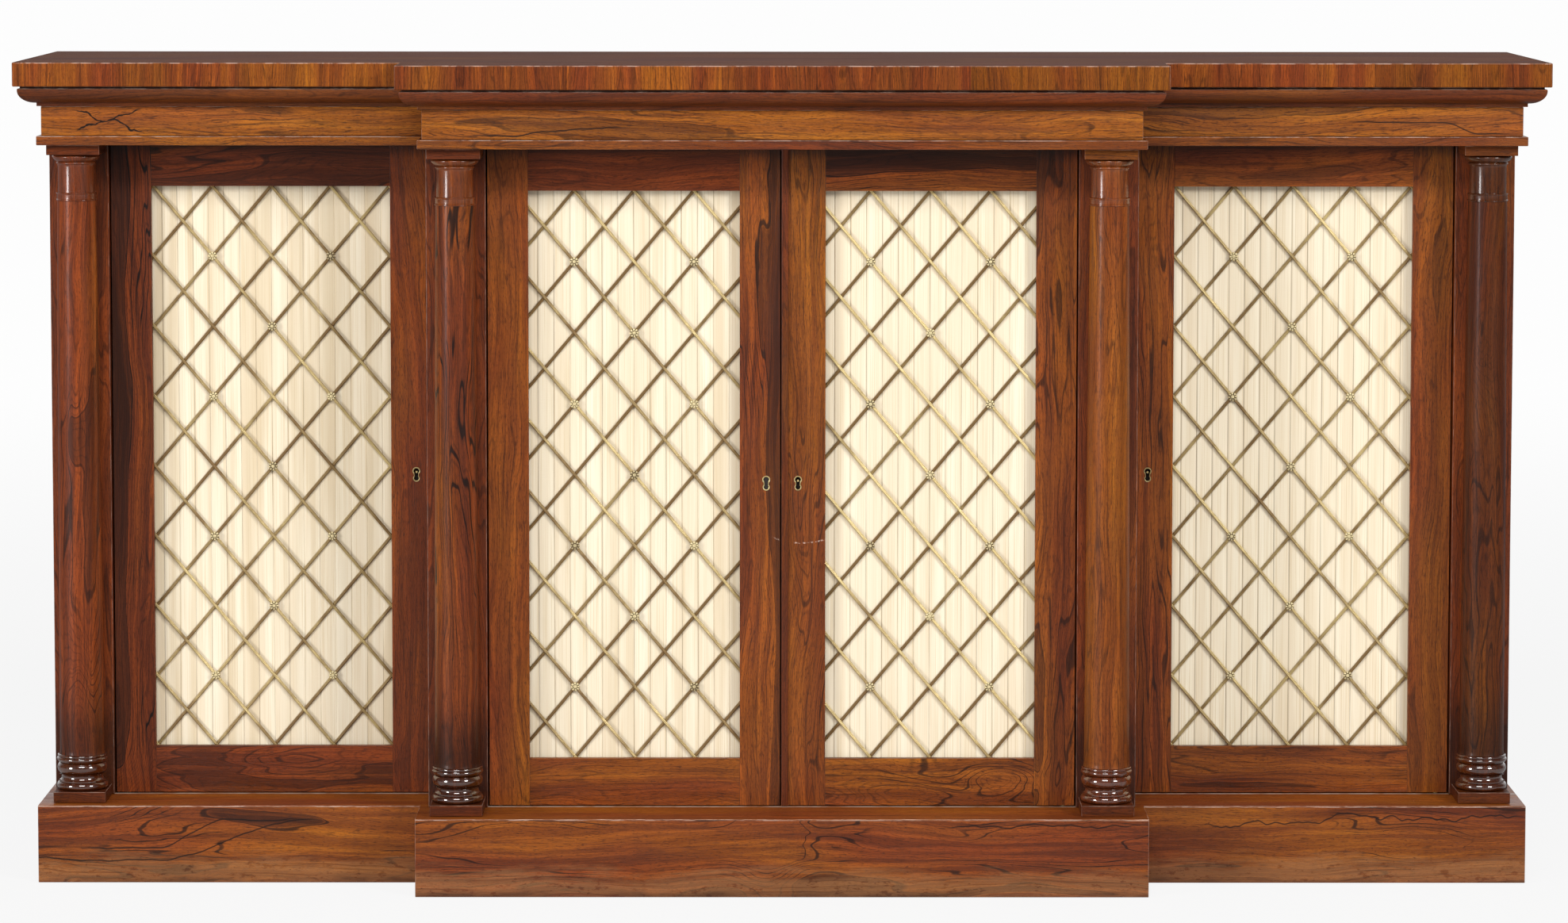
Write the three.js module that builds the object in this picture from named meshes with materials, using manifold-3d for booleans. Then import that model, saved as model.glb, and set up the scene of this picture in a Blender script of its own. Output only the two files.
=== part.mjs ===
// A breakfront side cabinet (chiffonier) with four doors, four columns and brass trellis over silk.
// Millimetres, +Z up, +X to the viewer's right, the front towards -Y.
// The origin is on the floor, under the centre of the whole cabinet.

import * as THREE from 'three';
import { mergeVertices } from 'three/addons/utils/BufferGeometryUtils.js';
import Module from 'manifold-3d';

const wasm = await Module();
wasm.setup();

// Overall sizes
const overallHeight = 920;
const carcassWidth = 1646;
const centreWidth = 790;
const breakfront = 85;
const sideDepth = 347.7;
const plinthReveal = 10.5;
const slabOverhang = 17.3;
const seam = 0.3;

// Heights of the plinth, the entablature and the top
const plinthHeight = 87;
const plinthTopThickness = 14;
const plinthBoard = 20;
const slabThickness = 25;
const slabArris = 1.5;
const cornerWear = 1;
const beadHeight = 10.3;
const beadSetback = 5.5;
const beadArris = 1.2;
const friezeHeight = 32.6;
const friezeSetback = 10.6;
const entablatureInner = 24.3;
const fascia = 3.8;
const fasciaSetback = 6.4;
const ovoloHeight = 14.3;
const ovoloProjection = 19;
const ovoloLip = 1;
const ovoloSteps = 6;
const recessHeight = 3.8;
const recessSetback = 2.8;
const recessSlope = 1.2;
const carcassTopThickness = 18;

// Carcass boards
const panelThickness = 18;
const backThickness = 10;
const shelfThickness = 16;
const shelfHeight = 446;
const shelfFrontGap = 12;
const pilasterWidth = 66.3;
const pilasterThickness = 20;

// Columns, from the block up to the abacus
const blockSize = 58.5;
const blockHeight = 12.3;
const blockInset = 15.5;
const abacusSize = 59.2;
const abacusHeight = 11.1;
const lowerTorusRadius = 28.7;
const lowerTorusHeight = 9.1;
const lowerFilletRadius = 26.4;
const filletHeight = 1.3;
const scotiaRadius = 23.2;
const scotiaHeight = 7.4;
const upperTorusRadius = 28;
const upperTorusHeight = 12.9;
const grooveRadius = 26.6;
const grooveHeight = 2.2;
const baseRingRadius = 28.1;
const baseRingHeight = 7.1;
const baseRingArris = 1;
const flareHeight = 4.5;
const shaftBottomRadius = 25;
const shaftTopRadius = 21.6;
const astragalRadius = 22.7;
const astragalHeight = 9.2;
const astragalEdge = 1.3;
const neckRadius = 20.6;
const neckHeight = 31.4;
const annuletRadius = 22.2;
const annuletHeight = 3;
const echinusRadius = 26.6;
const echinusHeight = 8;
const echinusLip = 3;
const columnSides = 18;
const torusSteps = 4;

// Doors
const doorThickness = 22;
const doorSetback = 9.5;
const doorGap = 1.5;
const doorFloorGap = 1.2;
const stileWidth = 45;
const wideStileWidth = 49;
const bottomRail = 53;
const topRail = 48.5;
const meetingGap = 1.4;
const meetingOffset = -1.5;
const rebateWidth = 8;
const rebateDepth = 8;
const meetingBeadWidth = 7.8;
const meetingBeadDepth = 2.2;

// Trellis and silk
const wireWidth = 2.8;
const wireThickness = 1.7;
const wireOverlap = 0.4;
const rimWidth = 4;
const rosetteRadius = 4;
const rosetteHeight = 1.5;
const rosetteSides = 6;
const diamondWidth = 66.6;
const diamondHeight = 79.6;
const pleatWidth = 17.1;
const pleatDepth = 3;
const silkThickness = 0.8;
const silkClearance = 1;

// Hinges, locks and bolts
const pivotFromEdge = 12;
const pivotFromFront = 5;
const pinRadius = 2.5;
const pinLength = 9;
const pinClearance = 0.4;
const pinSides = 12;
const pinEndGap = 1;
const plateLength = 26;
const plateWidth = 9;
const plateThickness = 2.2;
const keyholeHeight = 451;
const keyholeInset = 16.7;
const centreKeyhole = 17.7;
const escutcheonWidth = 8.8;
const escutcheonHeight = 16.6;
const escutcheonFoot = 6;
const escutcheonRim = 1.1;
const escutcheonDepth = 3;
const keyholeDepth = 11;
const boltLength = 24;
const boltHeight = 11;
const boltThickness = 3.6;
const boltRise = 15;
const boltBackset = 9;
const boltThrow = 8;
const flushBoltLength = 60;
const flushBoltWidth = 7;
const flushBoltThickness = 4.6;
const flushBoltThrow = 9;
const overrun = 2;
const mergeDistance = 0.0001;
const arcSegments = 4;

// Places that follow from the sizes above
const plinthHalf = carcassWidth / 2 + plinthReveal;
const centrePlinthHalf = centreWidth / 2 + plinthReveal;
const totalDepth = slabOverhang + breakfront + sideDepth;
const backY = totalDepth / 2;
const sideFront = backY - sideDepth;
const centreFront = sideFront - breakfront;
const slabBottom = overallHeight - slabThickness;
const corniceTop = slabBottom - seam;
const ovoloTop = corniceTop - recessHeight;
const ovoloBottom = ovoloTop - recessSlope - ovoloLip - ovoloHeight;
const corniceBottom = ovoloBottom - fascia;
const friezeTop = corniceBottom - seam;
const friezeBottom = friezeTop - friezeHeight;
const beadTop = friezeBottom - seam;
const soffit = beadTop - beadHeight;
const carcassFloor = plinthHeight + seam;
const carcassCeiling = soffit - seam;
const pilasterSetback = blockInset + blockSize + seam;
const doorFrontSetback = pilasterSetback + doorSetback;
const panelInner = carcassWidth / 2 - panelThickness;
const pilasterInnerOuter = carcassWidth / 2 - pilasterWidth;
const pilasterInnerCentre = centreWidth / 2 - pilasterWidth;
const backboardFront = backY - backThickness;
const doorBottom = plinthHeight + doorFloorGap;
const doorTop = soffit - doorFloorGap;
const openingBottom = doorBottom + bottomRail;
const openingTop = doorTop - topRail;
const shelfTop = shelfHeight + shelfThickness;

// Materials
function wood(color, roughness = 0.4) {
  return new THREE.MeshStandardMaterial({ color, roughness, metalness: 0 });
}
const rosewood = wood(0x7a3a1c);
const rosewoodDark = wood(0x4a2114, 0.25);
const rosewoodTop = wood(0x5c3a30);
const rosewoodGold = wood(0x9a5722);
const carcassWood = wood(0x8a6a48, 0.75);
const brass = new THREE.MeshStandardMaterial({ color: 0xa48a4e, roughness: 0.4, metalness: 0.9 });
const silkCloth = new THREE.MeshStandardMaterial({ color: 0xf3e8c8, roughness: 0.8, metalness: 0 });

const cabinet = new THREE.Group();

function addPiece(name, geometry, material) {
  const mesh = new THREE.Mesh(geometry, material);
  mesh.name = name;
  cabinet.add(mesh);
  return mesh;
}

// Solid helpers
function toSolid(geometry) {
  const bare = geometry.clone();
  bare.deleteAttribute('normal');
  bare.deleteAttribute('uv');
  const merged = mergeVertices(bare, mergeDistance);
  const vertProperties = new Float32Array(merged.attributes.position.array);
  const triVerts = new Uint32Array(merged.index.array);
  return new wasm.Manifold(new wasm.Mesh({ numProp: 3, vertProperties, triVerts }));
}

function fromSolid(solid) {
  const mesh = solid.getMesh();
  const geometry = new THREE.BufferGeometry();
  geometry.setAttribute('position', new THREE.BufferAttribute(new Float32Array(mesh.vertProperties), 3));
  geometry.setIndex(new THREE.BufferAttribute(new Uint32Array(mesh.triVerts), 1));
  geometry.computeVertexNormals();
  return geometry;
}

function cut(geometry, tools) {
  return fromSolid(tools.reduce((solid, tool) => solid.subtract(toSolid(tool)), toSolid(geometry)));
}

function join(geometries) {
  return fromSolid(wasm.Manifold.union(geometries.map(toSolid)));
}

// A box between two corners
function box(x0, x1, y0, y1, z0, z1) {
  const geometry = new THREE.BoxGeometry(x1 - x0, y1 - y0, z1 - z0);
  return geometry.translate((x0 + x1) / 2, (y0 + y1) / 2, (z0 + z1) / 2);
}

// A box centred on x and y
function post(x, y, width, depth, z0, z1) {
  return box(x - width / 2, x + width / 2, y - depth / 2, y + depth / 2, z0, z1);
}

// A turned solid from a half profile of [radius, height] points that starts and ends on the axis
function turned(profile, sides) {
  const points = profile.map(([radius, height]) => new THREE.Vector2(radius, height));
  return new THREE.LatheGeometry(points, sides).rotateX(Math.PI / 2);
}

function rod(x, y, radius, z0, z1, sides) {
  return turned([[0, z0], [radius, z0], [radius, z1], [0, z1]], sides).translate(x, y, 0);
}

// Skins a row of closed contours that all have the same number of points.
// The contours run anticlockwise seen from ahead, and flat holds the first one in two dimensions.
function skin(contours, flat, endless) {
  const count = contours[0].length;
  const positions = contours.flat().flatMap((p) => p);
  const index = [];
  const rows = endless ? contours.length : contours.length - 1;
  for (let row = 0; row < rows; row += 1) {
    const here = row * count;
    const next = ((row + 1) % contours.length) * count;
    for (let k = 0; k < count; k += 1) {
      const k2 = (k + 1) % count;
      index.push(here + k, here + k2, next + k2);
      index.push(here + k, next + k2, next + k);
    }
  }
  if (!endless) {
    const contour = flat.map(([u, v]) => new THREE.Vector2(u, v));
    const sense = Math.sign(THREE.ShapeUtils.area(contour));
    const last = (contours.length - 1) * count;
    for (const [a, b, c] of THREE.ShapeUtils.triangulateShape(contour, [])) {
      const area = THREE.ShapeUtils.area([contour[a], contour[b], contour[c]]);
      const [p, q, r] = Math.sign(area) === sense ? [a, b, c] : [a, c, b];
      index.push(last + p, last + q, last + r);
      index.push(p, r, q);
    }
  }
  const geometry = new THREE.BufferGeometry();
  geometry.setAttribute('position', new THREE.Float32BufferAttribute(positions, 3));
  geometry.setIndex(index);
  geometry.computeVertexNormals();
  return geometry;
}

// The cabinet's plan, stepped forward in the middle, moved out from the plinth's faces
function plan(out, back) {
  const halfWidth = plinthHalf + out;
  const halfCentre = centrePlinthHalf + out;
  const rear = backY + back;
  return [
    [-halfWidth, rear],
    [-halfWidth, sideFront - out],
    [-halfCentre, sideFront - out],
    [-halfCentre, centreFront - out],
    [halfCentre, centreFront - out],
    [halfCentre, sideFront - out],
    [halfWidth, sideFront - out],
    [halfWidth, rear],
  ];
}

// A plate with the cabinet's plan, from a list of [out, back, height] levels from the bottom up
function plate(levels) {
  const contours = levels.map(([out, back, z]) => plan(out, back).map(([x, y]) => [x, y, z]));
  return skin(contours, plan(levels[0][0], levels[0][1]), false);
}

// A moulding round the front and sides, from a closed [out, height] profile that runs down its face
function moulding(profile) {
  const paths = profile.map(([out]) => plan(out, 0));
  const stations = paths[0].map((_, j) => profile.map(([, z], k) => [paths[k][j][0], paths[k][j][1], z]));
  return skin(stations, profile, false);
}

// Top slab, cornice, frieze and architrave bead
addPiece('top_slab', plate([
  [slabOverhang - slabArris, -slabArris, slabBottom],
  [slabOverhang, 0, slabBottom + slabArris],
  [slabOverhang, 0, overallHeight - slabArris],
  [slabOverhang - slabArris, -slabArris, overallHeight],
]), rosewoodTop);

function corniceProfile() {
  const face = -fasciaSetback;
  const nose = face + ovoloProjection;
  const curveTop = ovoloBottom + ovoloHeight;
  const points = [
    [-entablatureInner, corniceTop],
    [nose - recessSetback, corniceTop],
    [nose - recessSetback, ovoloTop],
    [nose, ovoloTop - recessSlope],
  ];
  for (let step = 0; step <= ovoloSteps; step += 1) {
    const angle = (step / ovoloSteps) * Math.PI / 2;
    points.push([face + ovoloProjection * Math.cos(angle), curveTop - ovoloHeight * Math.sin(angle)]);
  }
  points.push([face, corniceBottom], [-entablatureInner, corniceBottom]);
  return points;
}
addPiece('cornice_moulding', moulding(corniceProfile()), rosewood);

addPiece('frieze', moulding([
  [-entablatureInner, friezeTop],
  [-friezeSetback, friezeTop],
  [-friezeSetback, friezeBottom],
  [-entablatureInner, friezeBottom],
]), rosewoodGold);

addPiece('architrave_bead', moulding([
  [-entablatureInner, beadTop],
  [-beadSetback - beadArris, beadTop],
  [-beadSetback, beadTop - beadArris],
  [-beadSetback, soffit + beadArris],
  [-beadSetback - beadArris, soffit],
  [-entablatureInner, soffit],
]), rosewoodGold);

// Plinth
function plinthRing() {
  const top = plinthHeight - plinthTopThickness - seam;
  const profile = [
    [-plinthBoard, top],
    [0, top],
    [0, cornerWear],
    [-cornerWear, 0],
    [-plinthBoard, 0],
  ];
  const paths = profile.map(([out]) => plan(out, out));
  const stations = paths[0].map((_, j) => profile.map(([, z], k) => [paths[k][j][0], paths[k][j][1], z]));
  return skin(stations, profile, true);
}
addPiece('plinth_frame', plinthRing(), rosewood);

// The doors' sizes and places: side is the hinge's side, -1 left and 1 right
const sideDoor = { front: sideFront + doorFrontSetback, hingeEdge: pilasterInnerOuter - doorGap };
const centreDoor = { front: centreFront + doorFrontSetback, hingeEdge: pilasterInnerCentre - doorGap };
const freeEdge = centreWidth / 2 + doorGap;
const doors = [
  {
    name: 'left_door', side: -1, front: sideDoor.front, hingeX: -sideDoor.hingeEdge, freeX: -freeEdge,
    freeStile: stileWidth, keyholeX: -(freeEdge + keyholeInset), locks: true,
  },
  {
    name: 'centre_left_door', side: -1, front: centreDoor.front, hingeX: -centreDoor.hingeEdge,
    freeX: meetingOffset - meetingGap / 2, freeStile: stileWidth, keyholeX: -centreKeyhole, locks: false,
  },
  {
    name: 'centre_right_door', side: 1, front: centreDoor.front, hingeX: centreDoor.hingeEdge,
    freeX: meetingOffset + meetingGap / 2, freeStile: wideStileWidth, keyholeX: centreKeyhole, locks: true,
  },
  {
    name: 'right_door', side: 1, front: sideDoor.front, hingeX: sideDoor.hingeEdge, freeX: freeEdge,
    freeStile: stileWidth, keyholeX: freeEdge + keyholeInset, locks: true,
  },
];
for (const door of doors) {
  door.pivotX = door.hingeX - door.side * pivotFromEdge;
  door.pivotY = door.front + pivotFromFront;
  door.openHinge = door.hingeX - door.side * stileWidth;
  door.openFree = door.freeX + door.side * door.freeStile;
  door.openLeft = Math.min(door.openHinge, door.openFree);
  door.openRight = Math.max(door.openHinge, door.openFree);
}

// Pockets that take the hinge plates, in the plinth's top and under the carcass top
function platePocket(door, z0, z1) {
  const length = plateLength + 2 * seam;
  return post(door.pivotX, door.pivotY, length, plateWidth + 2 * seam, z0, z1);
}

const plinthTop = plate([
  [0, 0, plinthHeight - plinthTopThickness],
  [0, 0, plinthHeight - cornerWear],
  [-cornerWear, -cornerWear, plinthHeight],
]);
const plinthPockets = doors.map((door) => (
  platePocket(door, plinthHeight - plateThickness - seam, plinthHeight + overrun)
));
addPiece('plinth_top', cut(plinthTop, plinthPockets), rosewood);

// The board over the doors closes the entablature from below
const carcassTopOut = -entablatureInner - seam;
const carcassTopBack = -backThickness - seam;
const carcassTop = plate([
  [carcassTopOut, carcassTopBack, soffit],
  [carcassTopOut, carcassTopBack, soffit + carcassTopThickness],
]);
const flushDoor = doors[1];
const flushBoltX = flushDoor.freeX - flushBoltThickness / 2 - seam;
const flushBoltY = flushDoor.front + boltBackset + boltThickness / 2;
const flushBoltTop = doorTop - seam;
const flushSocket = post(
  flushBoltX, flushBoltY, flushBoltThickness + 2 * seam, flushBoltWidth + 2 * seam,
  soffit - overrun, flushBoltTop + flushBoltThrow + seam + pinEndGap,
);
const topPockets = doors.map((door) => (
  platePocket(door, soffit - overrun, soffit + plateThickness + seam)
));
addPiece('carcass_top', cut(carcassTop, [...topPockets, flushSocket]), carcassWood);

// Sides, partitions, back and shelves
const sideBoardFront = sideFront + pilasterSetback + pilasterThickness + seam;
const partitionFront = centreFront + pilasterSetback + pilasterThickness + seam;
const boardBack = backY - seam;
const innerBack = backboardFront - seam;

function boltZ() {
  const bottom = keyholeHeight + boltRise - boltHeight / 2;
  return [bottom, bottom + boltHeight];
}

function lockMortise(door, faceX) {
  const [z0, z1] = boltZ();
  const reach = door.freeX - door.side * (boltThrow + pinEndGap);
  const start = faceX + door.side * overrun;
  return box(
    Math.min(start, reach), Math.max(start, reach),
    door.front + boltBackset - seam, door.front + boltBackset + boltThickness + seam,
    z0 - seam, z1 + seam,
  );
}

for (const [label, side, door] of [['left', -1, doors[0]], ['right', 1, doors[3]]]) {
  const outer = side * carcassWidth / 2;
  const inner = side * panelInner;
  addPiece(`side_panel_${label}`, box(
    Math.min(outer, inner), Math.max(outer, inner), sideBoardFront, boardBack, carcassFloor, carcassCeiling,
  ), rosewood);
  const face = side * centreWidth / 2;
  const behind = side * (centreWidth / 2 - panelThickness);
  const partition = box(
    Math.min(face, behind), Math.max(face, behind), partitionFront, innerBack, carcassFloor, carcassCeiling,
  );
  addPiece(`partition_${label}`, cut(partition, [lockMortise(door, face)]), rosewood);
}

const backHalf = panelInner - seam;
const backboard = box(-backHalf, backHalf, backboardFront, boardBack, carcassFloor, corniceTop);
addPiece('backboard', backboard, carcassWood);

function shelf(name, x0, x1, doorFront) {
  const front = doorFront + doorThickness + shelfFrontGap;
  addPiece(name, box(x0 + seam, x1 - seam, front, innerBack, shelfHeight, shelfTop), carcassWood);
}
const bayInner = centreWidth / 2 - panelThickness;
shelf('shelf_left', -panelInner, -centreWidth / 2, sideDoor.front);
shelf('shelf_centre', -bayInner, bayInner, centreDoor.front);
shelf('shelf_right', centreWidth / 2, panelInner, sideDoor.front);

// Columns with their blocks and abaci, each in front of a pilaster
const blockBottom = carcassFloor;
const blockTop = blockBottom + blockHeight;
const abacusTop = carcassCeiling;
const abacusBottom = abacusTop - abacusHeight;

function torus(radius, z0, height) {
  const points = [];
  for (let step = 0; step <= torusSteps; step += 1) {
    const angle = (step / torusSteps - 0.5) * Math.PI;
    const bulge = height / 2;
    points.push([radius - bulge + bulge * Math.cos(angle), z0 + bulge + bulge * Math.sin(angle)]);
  }
  return points;
}

function columnProfile() {
  const lowerTorus = blockTop + seam;
  const lowerFillet = lowerTorus + lowerTorusHeight;
  const scotia = lowerFillet + filletHeight;
  const upperTorus = scotia + scotiaHeight;
  const groove = upperTorus + upperTorusHeight;
  const baseRing = groove + grooveHeight;
  const flare = baseRing + baseRingHeight;
  const shaftBottom = flare + flareHeight;
  const top = abacusBottom - seam;
  const echinus = top - echinusHeight;
  const annulet = echinus - annuletHeight;
  const neck = annulet - neckHeight;
  const astragal = neck - astragalHeight;
  return [
    [0, lowerTorus],
    ...torus(lowerTorusRadius, lowerTorus, lowerTorusHeight),
    [lowerFilletRadius, lowerFillet],
    [lowerFilletRadius, scotia],
    [scotiaRadius, scotia + scotiaHeight / 2],
    [grooveRadius, upperTorus],
    ...torus(upperTorusRadius, upperTorus, upperTorusHeight).slice(1, -1),
    [grooveRadius, groove],
    [grooveRadius, baseRing],
    [baseRingRadius, baseRing + baseRingArris],
    [baseRingRadius, flare - baseRingArris],
    [grooveRadius, flare],
    [shaftBottomRadius, shaftBottom],
    [shaftTopRadius, astragal],
    [astragalRadius, astragal],
    [astragalRadius, astragal + astragalEdge],
    [astragalRadius, neck - astragalEdge],
    [astragalRadius, neck],
    [neckRadius, neck],
    [neckRadius, annulet],
    [annuletRadius, annulet],
    [annuletRadius, echinus],
    [(annuletRadius + echinusRadius) / 2, echinus + (echinusHeight - echinusLip) / 3],
    [echinusRadius, top - echinusLip],
    [echinusRadius, top],
    [0, top],
  ];
}

const outerAxisX = plinthHalf - blockInset - blockSize / 2;
const centreAxisX = centrePlinthHalf - blockInset - blockSize / 2;
const columnPlaces = [
  { label: 'left_outer', side: -1, axisX: outerAxisX, edge: carcassWidth / 2, front: sideFront },
  { label: 'left_centre', side: -1, axisX: centreAxisX, edge: centreWidth / 2, front: centreFront },
  { label: 'right_centre', side: 1, axisX: centreAxisX, edge: centreWidth / 2, front: centreFront },
  { label: 'right_outer', side: 1, axisX: outerAxisX, edge: carcassWidth / 2, front: sideFront },
];
for (const place of columnPlaces) {
  const x = place.side * place.axisX;
  const y = place.front + blockInset + blockSize / 2;
  const block = post(x, y, blockSize, blockSize, blockBottom, blockTop);
  addPiece(`column_block_${place.label}`, block, rosewoodDark);
  addPiece(`column_${place.label}`, turned(columnProfile(), columnSides).translate(x, y, 0), rosewood);
  const abacus = post(x, y, abacusSize, blockSize, abacusBottom, abacusTop);
  addPiece(`abacus_${place.label}`, abacus, rosewoodDark);
  const outer = place.side * place.edge;
  const inner = place.side * (place.edge - pilasterWidth);
  const pilasterFront = place.front + pilasterSetback;
  addPiece(`pilaster_${place.label}`, box(
    Math.min(outer, inner), Math.max(outer, inner),
    pilasterFront, pilasterFront + pilasterThickness, carcassFloor, carcassCeiling,
  ), rosewood);
}

// Keyhole outline, grown by a margin on every side, in x and z about its own centre
function keyholeShape(margin) {
  const head = escutcheonWidth / 2 + margin;
  const foot = escutcheonFoot / 2 + margin;
  const headZ = escutcheonHeight / 2 + margin - head;
  const footZ = -escutcheonHeight / 2 - margin + foot;
  const shape = new THREE.Shape();
  shape.absarc(0, headZ, head, -Math.PI / 4, Math.PI * 5 / 4, false);
  shape.absarc(0, footZ, foot, Math.PI, Math.PI * 2, false);
  shape.closePath();
  return shape;
}

// A keyhole shape set into the door from its front face
function keyholeSolid(shape, x, front, depth) {
  const geometry = new THREE.ExtrudeGeometry(shape, { depth, bevelEnabled: false, curveSegments: arcSegments });
  return geometry.rotateX(Math.PI / 2).translate(x, front + depth, keyholeHeight);
}

function doorFrame(door) {
  const back = door.front + doorThickness;
  const x0 = Math.min(door.hingeX, door.freeX);
  const x1 = Math.max(door.hingeX, door.freeX);
  const slab = box(x0, x1, door.front, back, doorBottom, doorTop);
  const tools = [
    box(door.openLeft, door.openRight, door.front - overrun, back + overrun, openingBottom, openingTop),
    box(
      door.openLeft - rebateWidth, door.openRight + rebateWidth, door.front + rebateDepth, back + overrun,
      openingBottom - rebateWidth, openingTop + rebateWidth,
    ),
    keyholeSolid(keyholeShape(seam), door.keyholeX, door.front - overrun, keyholeDepth + overrun),
  ];
  const holeRadius = pinRadius + pinClearance;
  const holeReach = pinLength + pinEndGap;
  const lowHole = [doorBottom - overrun, plinthHeight + holeReach];
  const highHole = [soffit - holeReach, doorTop + overrun];
  for (const [z0, z1] of [lowHole, highHole]) {
    tools.push(rod(door.pivotX, door.pivotY, holeRadius, z0, z1, pinSides));
  }
  if (door.locks) {
    const [z0, z1] = boltZ();
    const mouth = door.freeX - door.side * overrun;
    const end = door.freeX + door.side * (boltLength + 2 * seam);
    tools.push(box(
      Math.min(mouth, end), Math.max(mouth, end),
      door.front + boltBackset - seam, door.front + boltBackset + boltThickness + seam,
      z0 - seam, z1 + seam,
    ));
  } else {
    tools.push(lockMortise(doors[2], door.freeX));
    tools.push(box(
      door.freeX - flushBoltThickness - 2 * seam, door.freeX + overrun,
      flushBoltY - flushBoltWidth / 2 - seam, flushBoltY + flushBoltWidth / 2 + seam,
      flushBoltTop - flushBoltLength - seam, doorTop + overrun,
    ));
  }
  return cut(slab, tools);
}

// Crossing wires with a thin rim behind the frame's lip, and a rosette on every other crossing
function trellis(door) {
  const margin = rebateWidth - seam;
  const left = door.openLeft - margin;
  const right = door.openRight + margin;
  const bottom = openingBottom - margin;
  const top = openingTop + margin;
  const centreX = (door.openLeft + door.openRight) / 2;
  const rows = Math.round((openingTop - openingBottom) / diamondHeight);
  const pitchZ = (openingTop - openingBottom) / rows;
  const front = door.front + rebateDepth + seam;
  const middle = front + wireThickness;
  const back = middle + wireThickness - wireOverlap;
  const tilt = Math.atan2(pitchZ, diamondWidth);
  const span = Math.hypot(right - left, top - bottom);
  const middleZ = openingTop - (rows / 2) * pitchZ;
  const run = (top - bottom) / 2 / Math.tan(tilt);
  const farthest = (right - left) / 2 + run - wireWidth;
  const reach = Math.floor(farthest / diamondWidth);
  const wires = [];
  for (let k = -reach; k <= reach; k += 1) {
    for (const [lean, y0, y1] of [[1, middle - wireOverlap, back], [-1, front, middle]]) {
      const wire = new THREE.BoxGeometry(span, y1 - y0, wireWidth);
      wire.rotateY(-lean * tilt).translate(centreX + k * diamondWidth, (y0 + y1) / 2, middleZ);
      wires.push(wire);
    }
  }
  const window = toSolid(box(left, right, front - overrun, back + overrun, bottom, top));
  const net = wasm.Manifold.union(wires.map(toSolid)).intersect(window);
  const rim = toSolid(box(left, right, front, back, bottom, top)).subtract(toSolid(box(
    left + rimWidth, right - rimWidth, front - overrun, back + overrun, bottom + rimWidth, top - rimWidth,
  )));
  const rosettes = [];
  for (let row = 1; row < rows; row += 1) {
    const places = row % 2 === 1 ? [-diamondWidth, diamondWidth] : [0];
    for (const across of places) {
      const rosette = turned([
        [0, 0], [rosetteRadius, 0],
        [rosetteRadius / 2, wireThickness / 2 + rosetteHeight], [0, wireThickness / 2 + rosetteHeight],
      ], rosetteSides);
      rosette.rotateX(Math.PI / 2);
      rosette.translate(centreX + across, front + wireThickness / 2, openingTop - row * pitchZ);
      rosettes.push(toSolid(rosette));
    }
  }
  return fromSolid(wasm.Manifold.union([net, rim, ...rosettes]));
}

// Knife pleats: each one slopes back and steps forward again
function silk(door) {
  const margin = rebateWidth - silkClearance;
  const left = door.openLeft - margin;
  const right = door.openRight + margin;
  const bottom = openingBottom - margin;
  const top = openingTop + margin;
  const front = door.front + rebateDepth + seam + 2 * wireThickness - wireOverlap + seam;
  const count = Math.round((right - left) / pleatWidth);
  const width = (right - left) / count;
  const line = [[left, front]];
  for (let k = 0; k < count; k += 1) {
    line.push([left + (k + 1) * width - pleatDepth, front + pleatDepth]);
    line.push([left + (k + 1) * width, front]);
  }
  const behind = line.map(([x, y]) => [x, y + silkThickness]).reverse();
  const shape = new THREE.Shape([...line, ...behind].map(([x, y]) => new THREE.Vector2(x, y)));
  const geometry = new THREE.ExtrudeGeometry(shape, { depth: top - bottom, bevelEnabled: false });
  return geometry.translate(0, 0, bottom);
}

function escutcheon(door) {
  const shape = keyholeShape(0);
  shape.holes.push(keyholeShape(-escutcheonRim));
  return keyholeSolid(shape, door.keyholeX, door.front, escutcheonDepth);
}

// A hinge plate with its pin, let into the carcass above or below the door
function pivot(door, upper) {
  const plateLow = upper ? soffit : plinthHeight - plateThickness;
  const plateHigh = plateLow + plateThickness;
  const middle = (plateLow + plateHigh) / 2;
  const [pinLow, pinHigh] = upper ? [soffit - pinLength, middle] : [middle, plinthHeight + pinLength];
  return join([
    post(door.pivotX, door.pivotY, plateLength, plateWidth, plateLow, plateHigh),
    rod(door.pivotX, door.pivotY, pinRadius, pinLow, pinHigh, pinSides),
  ]);
}

for (const door of doors) {
  addPiece(`${door.name}_frame`, doorFrame(door), rosewood);
  addPiece(`${door.name}_trellis`, trellis(door), brass);
  addPiece(`${door.name}_silk`, silk(door), silkCloth);
  addPiece(`${door.name}_escutcheon`, escutcheon(door), brass);
  addPiece(`${door.name}_pivot_top`, pivot(door, true), brass);
  addPiece(`${door.name}_pivot_bottom`, pivot(door, false), brass);
  if (door.locks) {
    const [z0, z1] = boltZ();
    const tip = door.freeX + door.side * seam;
    const tail = tip + door.side * boltLength;
    addPiece(`${door.name}_lock_bolt`, box(
      Math.min(tip, tail), Math.max(tip, tail),
      door.front + boltBackset, door.front + boltBackset + boltThickness, z0, z1,
    ), brass);
  }
}

addPiece('centre_left_door_flush_bolt', post(
  flushBoltX, flushBoltY, flushBoltThickness, flushBoltWidth, flushBoltTop - flushBoltLength, flushBoltTop,
), brass);

// The bead down the meeting edge of the right-hand centre door
const beadDoor = doors[2];
addPiece('meeting_bead', box(
  beadDoor.freeX, beadDoor.freeX + meetingBeadWidth,
  beadDoor.front - seam - meetingBeadDepth, beadDoor.front - seam, doorBottom, doorTop,
), rosewood);

export default cabinet;
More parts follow.
